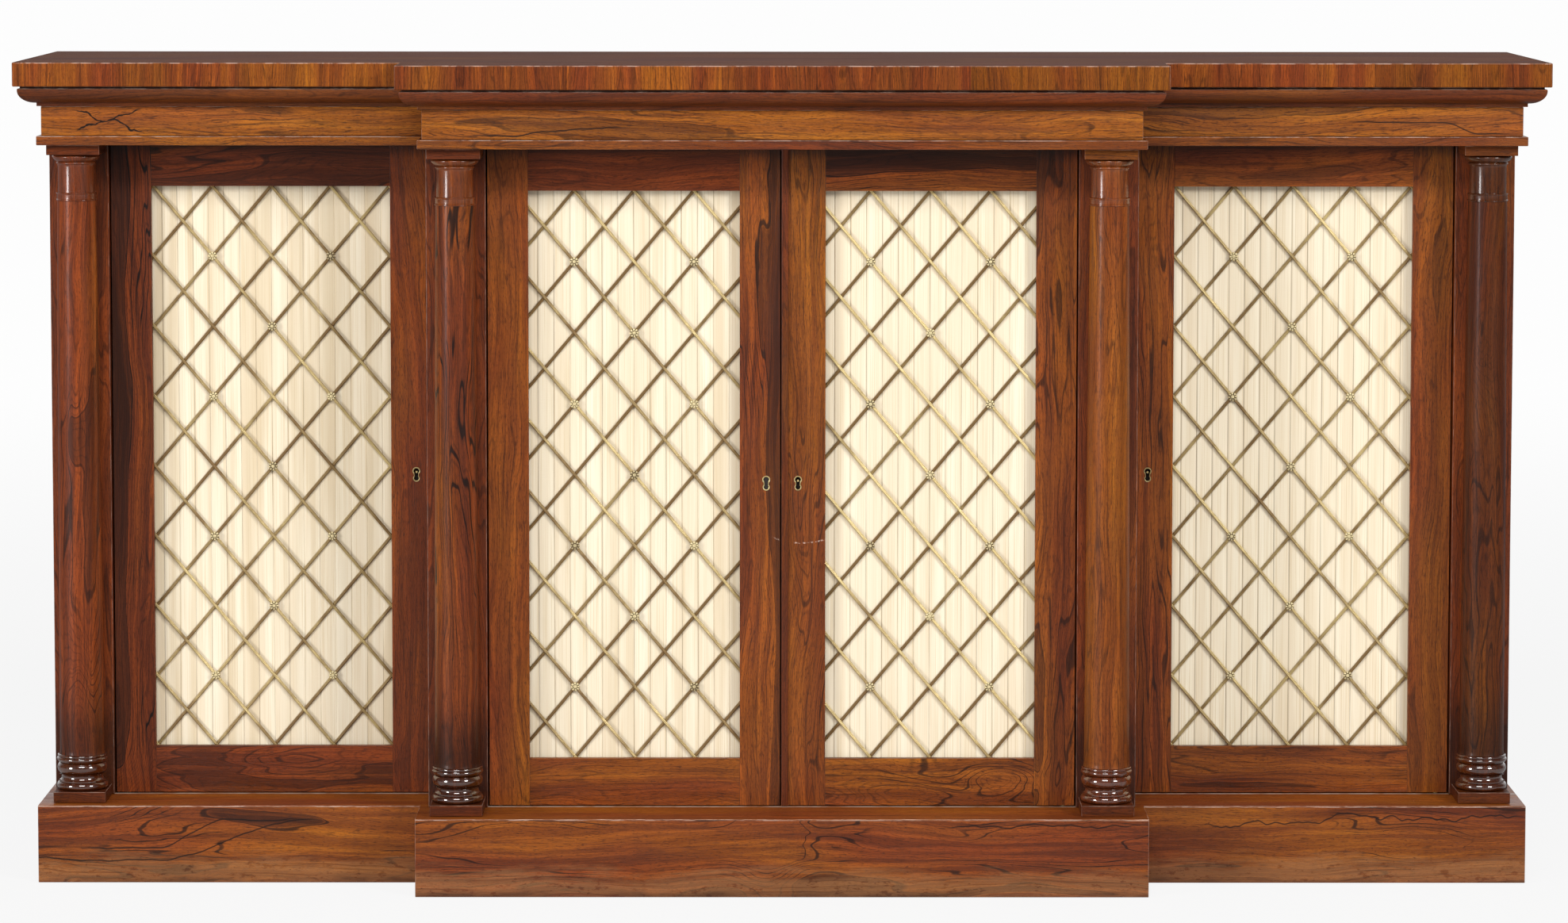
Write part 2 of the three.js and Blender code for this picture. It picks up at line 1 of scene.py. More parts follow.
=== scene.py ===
import math
import random
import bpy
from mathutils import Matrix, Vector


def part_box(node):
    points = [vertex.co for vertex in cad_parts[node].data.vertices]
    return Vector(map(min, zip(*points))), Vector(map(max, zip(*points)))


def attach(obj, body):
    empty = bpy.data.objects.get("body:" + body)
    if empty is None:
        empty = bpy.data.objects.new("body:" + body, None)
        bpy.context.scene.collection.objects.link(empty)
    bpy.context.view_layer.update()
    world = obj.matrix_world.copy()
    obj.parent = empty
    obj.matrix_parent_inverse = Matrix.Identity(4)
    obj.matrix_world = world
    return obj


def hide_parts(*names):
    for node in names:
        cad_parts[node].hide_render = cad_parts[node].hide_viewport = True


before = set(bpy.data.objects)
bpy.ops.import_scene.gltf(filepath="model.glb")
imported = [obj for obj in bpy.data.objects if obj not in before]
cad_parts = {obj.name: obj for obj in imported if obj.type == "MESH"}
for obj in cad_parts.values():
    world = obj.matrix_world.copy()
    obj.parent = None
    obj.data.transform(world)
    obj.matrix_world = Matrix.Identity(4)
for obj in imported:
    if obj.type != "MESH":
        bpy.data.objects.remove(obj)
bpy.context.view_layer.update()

from types import SimpleNamespace

import bmesh
import bpy
from mathutils import Matrix, Vector

MM = 0.001

# Sizes of what the frame doesn't give, in millimetres
PLINTH_REVEAL = 10.5
BLOCK_INSET = 15.5
ENTABLATURE_DEPTH = 24.3
CORNICE_LIP = 1.0
OVOLO_HEIGHT = 14.3
OVOLO_PROJECTION = 19.0
SLAB_DROP = 1.9
RECESS_HEIGHT = 1.9
RECESS_SETBACK = 2.8
RECESS_SLOPE = 1.2
REBATE_MARGIN = 7.7
REBATE_WIDTH = 8.0
REBATE_DEPTH = 8.0
DIAMOND_WIDTH = 66.6
DIAMOND_ROWS = 8
PLEAT = 17.3
VENEER = 1.3

# The camera that matches the photograph
CAMERA_X = -5.5
CAMERA_BACK = 5855.7
CAMERA_HEIGHT = 1129.8
CAMERA_YAW = -0.00128
CAMERA_PITCH = 0.08401
CAMERA_ROLL = 0.00065
PHOTO_WIDTH = 1977
PHOTO_HEIGHT = 1164
FOCAL_PIXELS = 6665.7
AXIS_ROW = 400
SENSOR = 36.0


def corners(node):
    """A node's lowest and highest corners, in millimetres."""
    low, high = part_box(node)
    return low / MM, high / MM


def middle(node):
    low, high = corners(node)
    return (low.x + high.x) / 2, (low.y + high.y) / 2, (low.z + high.z) / 2


# Places that follow from the frame
plinth_low, plinth_high = corners("plinth_frame")
slab_low, slab_high = corners("top_slab")
REAR = plinth_high.y
PLINTH_HALF = plinth_high.x
CENTRE_HALF = PLINTH_REVEAL - corners("pilaster_left_centre")[0].x
CENTRE_FRONT = plinth_low.y
SIDE_FRONT = corners("column_block_left_outer")[0].y - BLOCK_INSET
SLAB_OVERHANG = slab_high.x - PLINTH_HALF
SIDE_DOOR_FRONT = corners("left_door_frame")[0].y
CENTRE_DOOR_FRONT = corners("centre_left_door_frame")[0].y

# For each frame board: its lightness, gold and figure, and the heartwood's bias at its two edges
# tarnish_and_shade: the front wires' tarnish, then the back wires'; the back ones get more, as painted shade,
# so the front ones read as lit
DOORS = {
    # soft sets how far the silk waves and how much painted fold shade it gets
    "left_door": {
        "side": -1, "dummy": False, "soft": 1.0, "tarnish_and_shade": (0.38, 0.65),
        "left": (0.41, 0.1, 0.95, 0.17, -0.14), "right": (0.395, 0.12, 0.35, -0.06, 0.0),
        "top": (0.44, 0.2, 0.7, -0.02, 0.06), "bottom": (0.41, 0.15, 0.6, 0.0, 0.0),
    },
    "centre_left_door": {
        "side": -1, "dummy": True, "soft": 0.8, "tarnish_and_shade": (0.36, 0.7),
        "left": (0.48, 0.42, 0.35, -0.06, 0.0), "right": (0.41, 0.35, 0.85, -0.16, 0.44),
        "top": (0.36, 0.2, 0.4, -0.08, 0.0), "bottom": (0.405, 0.45, 0.35, 0.0, 0.0),
    },
    "centre_right_door": {
        "side": 1, "dummy": False, "soft": 0.25, "tarnish_and_shade": (0.1, 0.75),
        "left": (0.385, 0.5, 0.6, -0.10, -0.12), "right": (0.44, 0.4, 0.7, 0.0, 0.03),
        "top": (0.41, 0.3, 0.9, -0.16, 0.14), "bottom": (0.345, 0.45, 0.75, 0.0, 0.0),
    },
    "right_door": {
        "side": 1, "dummy": False, "soft": 0.3, "tarnish_and_shade": (0.42, 0.5),
        "left": (0.43, 0.3, 0.75, 0.12, -0.12), "right": (0.385, 0.35, 0.45, -0.05, 0.0),
        "top": (0.48, 0.25, 0.5, 0.0, 0.0), "bottom": (0.355, 0.35, 0.6, 0.0, 0.0),
    },
}


# Colours
def srgb(red, green, blue):
    """A colour as it looks on a screen, 0 to 255, for a shader."""
    parts = []
    for value in (red, green, blue):
        share = value / 255
        parts.append(share / 12.92 if share < 0.04045 else ((share + 0.055) / 1.055) ** 2.4)
    return (*parts, 1.0)


GROUND = srgb(154, 71, 27)
DEEP = srgb(98, 42, 20)
GOLD = srgb(186, 110, 28)
GOLD_DEEP = srgb(144, 75, 20)
HEART = srgb(78, 37, 17)
INK = srgb(20, 12, 9)
PORE = srgb(58, 26, 14)
PALE_RUB_AND_HIGHLIGHT = srgb(230, 200, 182)
FOOT = srgb(158, 110, 70)
FOOT_DEEP = srgb(108, 70, 42)
DUST = srgb(206, 192, 180)
SOLE = srgb(84, 40, 30)
PAINTED_TOP_SHADE = srgb(80, 40, 26)
PINE = srgb(160, 122, 78)
PINE_DEEP = srgb(118, 82, 50)
SILK_LIGHT = srgb(240, 229, 205)
SILK_DEEP = srgb(232, 217, 190)
SLUB = srgb(212, 190, 150)
PAINTED_FOLD_SHADE = srgb(206, 185, 149)
PAINTED_CREASE_SHADE = srgb(134, 110, 82)
KEYHOLE_SHADE_DEEP = srgb(14, 10, 8)
KEYHOLE_SHADE_PALE = srgb(38, 26, 18)


# Shaders
class Value:
    """A socket of a shader: its arithmetic adds the nodes that work it out."""

    def __init__(self, graph, socket):
        self.graph = graph
        self.socket = socket

    def __add__(self, other):
        return self.graph.math("ADD", self, other)

    def __sub__(self, other):
        return self.graph.math("SUBTRACT", self, other)

    def __mul__(self, other):
        return self.graph.math("MULTIPLY", self, other)

    def __truediv__(self, other):
        return self.graph.math("DIVIDE", self, other)

    def __abs__(self):
        return self.graph.math("ABSOLUTE", self)


class Graph:
    """The shader nodes of one material or world."""

    def __init__(self, owner):
        owner.use_nodes = True
        self.owner = owner
        self.tree = owner.node_tree
        self.tree.nodes.clear()

    def node(self, kind, inputs=(), **settings):
        made = self.tree.nodes.new("ShaderNode" + kind)
        for key, value in settings.items():
            setattr(made, key, value)
        for key, value in dict(inputs).items():
            if isinstance(value, Value):
                self.tree.links.new(value.socket, made.inputs[key])
            else:
                made.inputs[key].default_value = value
        return made

    def add(self, kind, inputs=(), output=0, **settings):
        """Adds a node and gives one of its outputs."""
        return Value(self, self.node(kind, inputs, **settings).outputs[output])

    def split(self, value, kind="SeparateXYZ"):
        return [Value(self, output) for output in self.node(kind, {0: value}).outputs]

    def join(self, x, y):
        return self.add("CombineXYZ", {0: x, 1: y})

    def place(self):
        return self.add("TexCoord", output="Object")

    def grain(self):
        return self.add("UVMap", uv_map="grain")

    def attribute(self, name, output):
        return self.add("Attribute", output=output, attribute_name=name)

    def tones(self):
        return self.split(self.attribute("tone", "Color"), "SeparateColor")

    def math(self, operation, a, b=0.0):
        return self.add("Math", {0: a, 1: b}, operation=operation)

    def largest(self, a, b):
        return self.math("MAXIMUM", a, b)

    def vector(self, operation, a, b):
        return self.add("VectorMath", {0: a, 1: b}, operation=operation)

    def noise(self, vector, stretch, detail=2.0, roughness=0.5):
        """A noise that runs stretch times faster: one number, or one for each axis."""
        if isinstance(stretch, float):
            stretch = (stretch, stretch, stretch)
        elif len(stretch) == 2:
            stretch = (*stretch, 1.0)
        place = self.vector("MULTIPLY", vector, stretch)
        return self.add("TexNoise", {"Vector": place, "Scale": 1.0, "Detail": detail, "Roughness": roughness})

    def step(self, value, start, end, low=0.0, high=1.0):
        """A smooth step: low where value is at start or before it, high at end or past it."""
        inputs = {"Value": value, "From Min": start, "From Max": end, "To Min": low, "To Max": high}
        return self.add("MapRange", inputs, interpolation_type="SMOOTHSTEP")

    def line(self, value, centre, width):
        """1 where value is at centre, and 0 from width away."""
        return self.step(abs(value - centre), width, width * 0.35)

    def mix(self, factor, a, b):
        return self.add("Mix", {0: factor, 6: a, 7: b}, output=2, data_type="RGBA")

    def stained(self, colour, layers):
        """The colour with layers of stain over it, each a share and a colour."""
        for share, stain in layers:
            colour = self.mix(share, colour, stain)
        return colour

    def surface(self, inputs, height=None, relief=0.0):
        """Ends the graph with a principled shader, with a bump of that relief in metres."""
        if height is not None:
            bump = self.add("Bump", {"Strength": 1.0, "Distance": relief, "Height": height})
            inputs = {**inputs, "Normal": bump}
        self.node("OutputMaterial", {0: self.add("BsdfPrincipled", inputs)})
        return self.owner


# Where the figure's field turns into black heartwood
HEART_LINE = 0.605
# Places of the whorls in the veneer: x and z in metres, half width, half height, and how strong
WHORLS = [
    (-0.77, 0.085, 0.09, 0.03, -0.22), (-0.014, 0.23, 0.03, 0.2, -0.42), (-0.789, 0.185, 0.02, 0.07, -0.24),
    (-0.789, 0.5, 0.012, 0.03, 0.16), (-0.4, 0.31, 0.018, 0.12, 0.2), (-0.655, 0.112, 0.06, 0.03, 0.05),
    (-0.56, 0.118, 0.06, 0.022, -0.09), (-0.44, 0.118, 0.06, 0.022, 0.1), (0.245, 0.118, 0.04, 0.017, -0.24),
    (0.13, 0.1, 0.06, 0.022, -0.16), (-0.11, 0.105, 0.04, 0.018, -0.18), (-0.548, 0.072, 0.026, 0.005, 0.14),
    (-0.64, 0.062, 0.05, 0.014, -0.14), (-0.12, 0.05, 0.11, 0.03, -0.16), (0.06, 0.062, 0.05, 0.018, 0.08),
    (0.3, 0.062, 0.08, 0.022, -0.18), (0.585, 0.06, 0.07, 0.026, -0.18), (0.715, 0.05, 0.06, 0.024, -0.14),
    (-0.27, 0.06, 0.07, 0.02, -0.12), (0.78, 0.62, 0.016, 0.045, 0.14),
]
# Values of the figure's field that a black line follows, and the line's width
FIGURE_LINES = [(0.555, 0.005), (0.515, 0.004), (0.475, 0.006), (0.44, 0.004), (0.40, 0.006), (0.36, 0.004)]
# Long black lines, in metres: from and to in x, where the height changes, both heights, and the sway
PLINTH_LINES = [
    (0.46, 0.845, 0.50, 0.80, 0.066, 0.078, 0.055), (0.17, 0.405, 0.17, 0.40, 0.080, 0.080, 0.028),
    (-0.860, -0.51, -0.69, -0.55, 0.026, 0.070, 0.014), (-0.80, -0.53, -0.70, -0.62, 0.040, 0.072, 0.012),
]
FRIEZE_LINES = [
    (0.62, 0.82, 0.735, 0.775, 0.8535, 0.8405, 0.006), (-0.35, -0.16, -0.30, -0.22, 0.842, 0.850, 0.016),
]
# The middle of the frieze's crossed flaw, and of the arc below the centre keyholes, in x and z
FLAW = (-0.749, 0.855)
SCRATCH = (0.022, 0.470)
SCRATCH_RADIUS = 0.086
# The veneer's fibres: their noise's frequencies along and across the grain, its detail and
# roughness, and the values between which they set in
FIBRES = [
    ((2.8, 100.0), 3.0, 0.65, 0.36, 0.66), ((5.0, 420.0), 3.0, 0.6, 0.52, 0.66),
    ((18.0, 1500.0), 1.0, 0.5, 0.50, 0.70), ((210.0, 1700.0), 1.0, 0.5, 0.58, 0.66),
    ((65.0, 950.0), 1.0, 0.5, 0.58, 0.66),
]
HAIR_SHARE = 0.35
PORE_SHARE = 0.5
HEART_SHARE = 0.85
LINE_SHARE = 0.85


def rosewood(name, roughness=0.4, coat=0.1, gloss=0.2, specular=0.2, coat_ior=1.5, dashed=0.5, lined=0.4,
             streaked=0.5, flawed=False, smoked=0.0, doors=False, worn=False, lines=(), dusty=False,
             top=False):
    """French-polished rosewood veneer, laid out by the "grain" map and the "tone" of each face.

    The map is in metres, first along and then across the grain. A tone holds the face's
    lightness, gold, black figure and arris wear with its painted highlight, and "bias" moves the dark
    heartwood to one side."""
    g = Graph(bpy.data.materials.new(name))
    v = veneer_masks(g)
    colour = bare_veneer(g, v, dashed, lined, streaked, flawed)
    colour = g.stained(colour, marks_of_age(g, v, smoked, doors, worn, lines, dusty))
    dull = g.step(g.noise(v.grain, (9.0, 30.0)), 0.3, 0.7, roughness - 0.07, roughness + 0.09)
    # Painted shade: faces that look up are darkened towards PAINTED_TOP_SHADE, and made rougher
    if top:
        top_shade_share = g.step(g.split(g.add("NewGeometry", output="Normal"))[2], 0.9, 0.98)
        colour = g.mix(top_shade_share * 0.55, colour, PAINTED_TOP_SHADE)
        dull = g.largest(dull, top_shade_share * 0.66)
    inputs = {"Base Color": colour, "Roughness": dull, "Specular IOR Level": specular,
              "Coat Weight": coat, "Coat Roughness": gloss, "Coat IOR": coat_ior}
    return g.surface(inputs, v.cloud * 1.5 - (v.pores + v.hair), 0.00006)


def veneer_masks(g):
    """What the layers of a veneer share: its maps, its tone, its fibres and the field of its figure."""
    grain, place = g.grain(), g.place()
    light, gold, figure = g.tones()
    sway = (g.noise(grain, (2.2, 8.0)) - 0.5) * 0.06
    bent = g.vector("ADD", grain, g.join(0.0, sway + g.noise(grain, (13.0, 50.0)) * 0.008))
    bias = g.attribute("bias", "Fac") + whorls(g, place)
    fibres = [g.step(g.noise(bent, *settings), start, end) for *settings, start, end in FIBRES]
    band, streak, hair, pores, dashes = fibres
    return SimpleNamespace(
        grain=grain, bent=bent, place=place, height=g.split(place)[2], light=light, gold=gold, figure=figure,
        field=g.noise(bent, (1.7, 15.0), 3.0, 0.45) + bias, cloud=g.noise(bent, (3.0, 16.0)),
        mottle=g.noise(bent, (150.0, 520.0), 4.0, 0.75), band=g.largest(band, figure * -0.5 + 0.6),
        streak=streak, hair=hair, pores=pores, dashes=dashes,
    )


def bare_veneer(g, v, dashed, lined, streaked, flawed):
    """The wood's own colour: bands from red to gold, dark heartwood, fibres and black lines."""
    amber = v.gold + (v.cloud - 0.5) * 1.8
    colour = g.mix(g.step(amber, 0.0, 1.0), g.mix(v.band, DEEP, GROUND), g.mix(v.band, GOLD_DEEP, GOLD))
    heart = g.step(v.field, HEART_LINE, HEART_LINE + 0.015) * v.figure
    layers = [
        (heart * HEART_SHARE, g.mix(v.band, INK, HEART)), (v.streak * streaked, PORE),
        (v.hair * HAIR_SHARE, PORE), (v.pores * PORE_SHARE, PORE), (v.dashes * dashed, PORE),
        (figure_lines(g, v, lined) * v.figure, INK),
    ]
    if flawed:
        layers.append((crossed_flaw(g, v.place), INK))
    shaded = v.mottle * 0.95 + (g.noise(v.bent, (1.3, 9.0), 1.0) * 0.9 + 1.1)
    colour = g.stained(colour, layers)
    return g.add("VectorMath", {0: colour, "Scale": v.light * shaded}, operation="SCALE")


def marks_of_age(g, v, smoked, doors, worn, lines, dusty):
    """The layers of smoke, painted shadow under the bead, wear and dust that a veneer has, and its rubbed
    arrises with their painted highlight.
    """
    layers = []
    if smoked:
        layers.append((g.step(v.height, 0.230, 0.150, 0.0, smoked), INK))
    if doors:
        # Painted shadow: the tops of the doors and pilasters, just under the bead, are darkened
        painted_bead_shadow = g.step(v.height, 0.806, 0.824) * g.step(v.height, 0.8274, 0.8268)
        layers += [(painted_bead_shadow * 0.7, INK), (scratch(g, v.place), PALE_RUB_AND_HIGHLIGHT)]
    if worn:
        layers += worn_foot(g, v)
    layers += [(long_line(g, v.place, *path) * LINE_SHARE, INK) for path in lines]
    if dusty:
        layers.append((dust(g, v.place), DUST))
    # Rounded arrises lighten towards the pale colour, as real wear and as a painted highlight, broken by
    # noise
    rub_and_highlight = g.step(g.noise(v.grain, (35.0, 35.0), 3.0, 0.7), 0.44, 0.60)
    return [*layers, (g.attribute("tone", "Alpha") * (rub_and_highlight * 0.75 + 0.15), PALE_RUB_AND_HIGHLIGHT)]


def whorls(g, place):
    """The sum of the whorls at a place: smooth hills and hollows that the figure's lines run round."""
    x, _, z = g.split(place)
    total = 0.0
    for centre_x, centre_z, wide, high, strength in WHORLS:
        across = (x - centre_x) / wide
        rise = (z - centre_z) / high
        square = across * across + rise * rise
        total = g.math("EXPONENT", square * -1.0) * strength + total
    return total


def figure_lines(g, v, lined):
    """The black lines that run round the figure like a map's contours, some of them broken."""
    ink = g.line(v.field, HEART_LINE, 0.007)
    breaks = g.noise(v.bent, (5.0, 3.0))
    for centre, width in FIGURE_LINES:
        ink = g.largest(ink, g.line(v.field, centre, width) * g.step(breaks, 0.36 + centre * 0.2, 0.52))
    rings = abs(g.math("FRACT", v.field * 40.0) - 0.5)
    return g.largest(ink, g.step(rings, 0.16, 0.02) * lined)


def worn_foot(g, v):
    """The layers that bleach and bruise the plinth towards the floor."""
    smudges = g.step(g.noise(v.place, (16.0, 16.0, 40.0), 4.0, 0.65), 0.56, 0.72)
    grey = g.largest(v.streak, (v.band * -1.0 + 1.0) * 0.5)
    bare = g.mix(g.largest(grey, g.step(v.mottle, 0.45, 0.65, 0.0, 0.7)), FOOT, FOOT_DEEP)
    specks = g.step(g.noise(v.place, (60.0, 60.0, 160.0), 3.0, 0.7), 0.56, 0.66)
    ragged = g.noise(v.place, (9.0, 9.0, 70.0), 4.0, 0.7) * 0.06
    uneven = g.noise(v.place, (25.0, 25.0, 90.0), 3.0, 0.6) * 0.018
    dents = g.step(g.noise(v.place, (170.0, 170.0, 300.0), 1.0), 0.72, 0.78)
    return [
        (smudges * 0.5, HEART),
        (g.step(v.height + ragged, 0.066, 0.044) * 0.52, g.mix(specks * 0.7, bare, HEART)),
        (g.step(v.height + uneven, 0.017, 0.009) * 0.5, g.mix(v.band, INK, SOLE)),
        (dents * 0.6, HEART),
    ]


def long_line(g, place, start, end, bend_start, bend_end, low, high, sway):
    """A black line that wanders along the front's veneer between two values of x, in metres."""
    x, _, z = g.split(place)
    wander = g.noise(g.join(x, start), (13.0, 1.0), 3.0, 0.6) - 0.5
    path = wander * sway + g.step(x, bend_start, bend_end, low, high)
    line = g.step(abs(z - path), 0.0012, 0.0004)
    return line * (g.step(x, start, start + 0.03) * g.step(x, end, end - 0.03))


def dust(g, place):
    """A broken pale line on the ledge, in front of the closed doors."""
    x, y, _ = g.split(place)
    step_at = (CENTRE_HALF - PLINTH_REVEAL) * MM
    face = g.step(abs(x), step_at - 0.001, step_at, CENTRE_DOOR_FRONT * MM, SIDE_DOOR_FRONT * MM)
    before = face - y
    line = g.step(before, 0.008, 0.004) * g.step(before, -0.001, 0.0)
    return line * g.step(g.noise(place, 24.0, 3.0, 0.7), 0.36, 0.60, 0.15, 0.7)


def scratch(g, place):
    """A pale arc rubbed into the centre doors below their keyholes."""
    x, _, z = g.split(place)
    across = x - SCRATCH[0]
    rise = z - SCRATCH[1]
    away = g.math("SQRT", across * across + rise * rise)
    curve = g.step(abs(away - SCRATCH_RADIUS), 0.0011, 0.0004) * g.step(rise, -0.078, -0.082)
    return curve * (g.step(g.noise(place, 300.0, 3.0, 0.7), 0.46, 0.60) * 0.5)


def crossed_flaw(g, place):
    """A black crossed flaw in the frieze's veneer, about 80 mm wide."""
    x, _, z = g.split(place)
    shake = (g.noise(place, 45.0, 3.0) - 0.5) * 0.018
    across = abs(x - FLAW[0])
    rise = abs(z - FLAW[1] + shake)
    arms = g.step(abs(rise - g.largest(across - 0.006, 0.0) * 0.42), 0.0014, 0.0004)
    return arms * g.step(across + g.noise(place, 50.0) * 0.02, 0.050, 0.040)


def plain_wood(name, along):
    """Planed, unpolished carcass wood with its grain along x or z."""
    g = Graph(bpy.data.materials.new(name))
    x, y, z = g.split(g.place())
    first, second, third = {"x": (x, y, z), "z": (z, x, y)}[along]
    grain = g.join(first, second + third * 1.3)
    bent = g.vector("ADD", grain, g.join(0.0, g.noise(grain, (1.5, 7.0)) * 0.06))
    rings = g.step(g.noise(bent, (1.6, 95.0), 3.0, 0.6), 0.3, 0.7)
    fibre = g.noise(bent, (30.0, 900.0))
    colour = g.mix(g.step(fibre, 0.5, 0.8, 0.0, 0.4), g.mix(rings, PINE_DEEP, PINE), PINE_DEEP)
    return g.surface({"Base Color": colour, "Roughness": 0.72}, fibre, 0.00008)


def brass(name, bright, tarnished):
    """Aged brass, browner where it's tarnished, and on the trellis wires also where painted shade darkens the
    back wires.
    """
    g = Graph(bpy.data.materials.new(name))
    place = g.place()
    patches = g.noise(place, 22.0, 3.0, 0.6)
    amount = g.step(patches * 1.5 + (g.tones()[0] - 0.42), 0.45, 1.25)
    rough = g.step(patches, 0.3, 0.7, 0.30, 0.45)
    inputs = {"Base Color": g.mix(amount, bright, tarnished), "Metallic": 0.3, "Roughness": rough}
    return g.surface(inputs, g.noise(place, 900.0, 1.0), 0.00002)


def silk(name):
    """Cream silk with upright slubs and a fine weft, with painted shade in the soft folds and along the
    pleats' creases that "tone" marks.
    """
    g = Graph(bpy.data.materials.new(name))
    grain = g.grain()
    crease_shade, soft, _ = g.tones()
    slub = g.noise(grain, (5.0, 950.0), 2.0, 0.6)
    weft = g.noise(grain, (1600.0, 60.0), 1.0)
    colour = g.mix(g.step(g.noise(grain, (2.0, 70.0)), 0.35, 0.7), SILK_DEEP, SILK_LIGHT)
    colour = g.stained(colour, [
        (g.step(slub, 0.48, 0.70, 0.0, 0.7), SLUB),
        # Painted shade in bands where the silk folds softly, as much as the door's soft value
        (g.step(g.noise(grain, (1.6, 42.0)), 0.46, 0.66, 0.0, 0.6) * soft, PAINTED_FOLD_SHADE),
        # Painted shade along the pleats' creases
        (crease_shade * g.step(g.noise(grain, (6.0, 30.0)), 0.35, 0.65, 0.35, 0.8), PAINTED_CREASE_SHADE),
    ])
    inputs = {"Base Color": colour, "Roughness": 0.5, "Sheen Weight": 0.1, "Sheen Roughness": 0.4,
              "Specular IOR Level": 0.2}
    return g.surface(inputs, slub + weft * 0.6, 0.00008)


def keyhole_shade_material(name):
    # Painted shade: near black, for the darkness inside a keyhole
    g = Graph(bpy.data.materials.new(name))
    colour = g.mix(g.noise(g.place(), 400.0), KEYHOLE_SHADE_DEEP, KEYHOLE_SHADE_PALE)
    return g.surface({"Base Color": colour, "Roughness": 0.8})


TURNED = {"roughness": 0.42, "coat": 0.06, "gloss": 0.14, "specular": 0.15}
WOOD = rosewood("rosewood_veneer")
DOOR_WOOD = rosewood("rosewood_doors", doors=True)
PILASTER_WOOD = rosewood("rosewood_pilasters", smoked=0.65, doors=True)
FRIEZE_WOOD = rosewood("rosewood_frieze", dashed=0.65, flawed=True, lines=FRIEZE_LINES)
PLINTH_WOOD = rosewood("rosewood_plinth", roughness=0.44, lined=0.12, streaked=0.15, worn=True,
                       lines=PLINTH_LINES)
LEDGE_WOOD = rosewood("rosewood_ledge", dusty=True)
BASE_WOOD = rosewood("rosewood_bases", roughness=0.26, coat=1.0, gloss=0.06, coat_ior=2.0)
CAPITAL_WOOD = rosewood("rosewood_capitals", roughness=0.3, coat=0.6, gloss=0.12)
BLOCK_WOOD = rosewood("rosewood_blocks", **TURNED)
TOP_WOOD = rosewood("rosewood_top", roughness=0.44, coat=0.0, specular=0.1, top=True)
PINE_UPRIGHT = plain_wood("carcass_wood_upright", "z")
PINE_ACROSS = plain_wood("carcass_wood_across", "x")
BRASS = brass("aged_brass", srgb(204, 182, 126), srgb(118, 90, 50))
PALE_BRASS = brass("pale_brass", srgb(218, 202, 156), srgb(100, 82, 54))
SILK = silk("cream_silk")
KEYHOLE_SHADE = keyhole_shade_material("keyhole_dark")

# Meshes
ARRIS_ANGLE = math.radians(35.0)
SOFT_ANGLE = 28.0


def shift(name):
    """A place in the grain of its own for each piece, in metres."""
    draw = random.Random(name)
    return draw.uniform(0.0, 40.0), draw.uniform(0.0, 8.0)


def linked_object(name, data):
    made = bpy.data.objects.new(name, data)
    bpy.context.scene.collection.objects.link(made)
    return made


def bare_object(name, vertices, faces):
    mesh = bpy.data.meshes.new(name)
    mesh.from_pydata([Vector(v) * MM for v in vertices], [], faces)
    return linked_object(name, mesh)


def bake(piece):
    """Applies a piece's modifiers to its mesh."""
    graph = bpy.context.evaluated_depsgraph_get()
    evaluated = piece.evaluated_get(graph)
    mesh = bpy.data.meshes.new_from_object(evaluated, preserve_all_data_layers=True, depsgraph=graph)
    piece.modifiers.clear()
    old = piece.data
    piece.data = mesh
    name = old.name
    bpy.data.meshes.remove(old)
    mesh.name = name


def soften(piece, width):
    """Rounds the arrises of a piece, and marks the new faces as material 1."""
    for _ in range(2):
        piece.data.materials.append(None)
    bevel = piece.modifiers.new("arris", "BEVEL")
    bevel.width = width * MM
    bevel.segments = 2
    bevel.limit_method = "ANGLE"
    bevel.angle_limit = ARRIS_ANGLE
    bevel.material = 1
    bake(piece)


def face_outwards(piece):
    shape = bmesh.new()
    shape.from_mesh(piece.data)
    bmesh.ops.recalc_face_normals(shape, faces=shape.faces)
    shape.to_mesh(piece.data)
    shape.free()


def blank_layers(mesh):
    """The data of a new grain map and new tones, for a piece that fills both itself."""
    mesh.uv_layers.new(name="grain")
    mesh.attributes.new("tone", "FLOAT_COLOR", "CORNER")
    return mesh.uv_layers["grain"].data, mesh.attributes["tone"].data


def map_grain(piece, along):
    """Lays the grain along x or z, from each face's own direction."""
    mesh = piece.data
    layer = mesh.uv_layers.new(name="grain")
    start, side = shift(piece.name)
    axes = (0, 1, 2) if along == "x" else (2, 0, 1)
    for face in mesh.polygons:
        normal = [abs(c) for c in face.normal]
        main = normal.index(max(normal))
        other = axes[2] if main == axes[1] else axes[1]
        for loop in face.loop_indices:
            place = mesh.vertices[mesh.loops[loop].vertex_index].co
            if main == axes[0]:
                layer.data[loop].uv = (start + place[axes[1]] * 0.2, side + place[axes[2]])
            else:
                layer.data[loop].uv = (start + place[axes[0]], side + place[other] + place[main] * 0.3)


def paint_bias(piece, along, ends):
    """Runs the heartwood's bias from one edge of a board to the other, across its grain."""
    mesh = piece.data
    layer = mesh.attributes.new("bias", "FLOAT", "CORNER")
    axis = 2 if along == "x" else 0
    values = [vertex.co[axis] for vertex in mesh.vertices]
    low, high = min(values), max(values)
    for loop in mesh.loops:
        share = (values[loop.vertex_index] - low) / (high - low)
        layer.data[loop.index].value = ends[0] + (ends[1] - ends[0]) * share


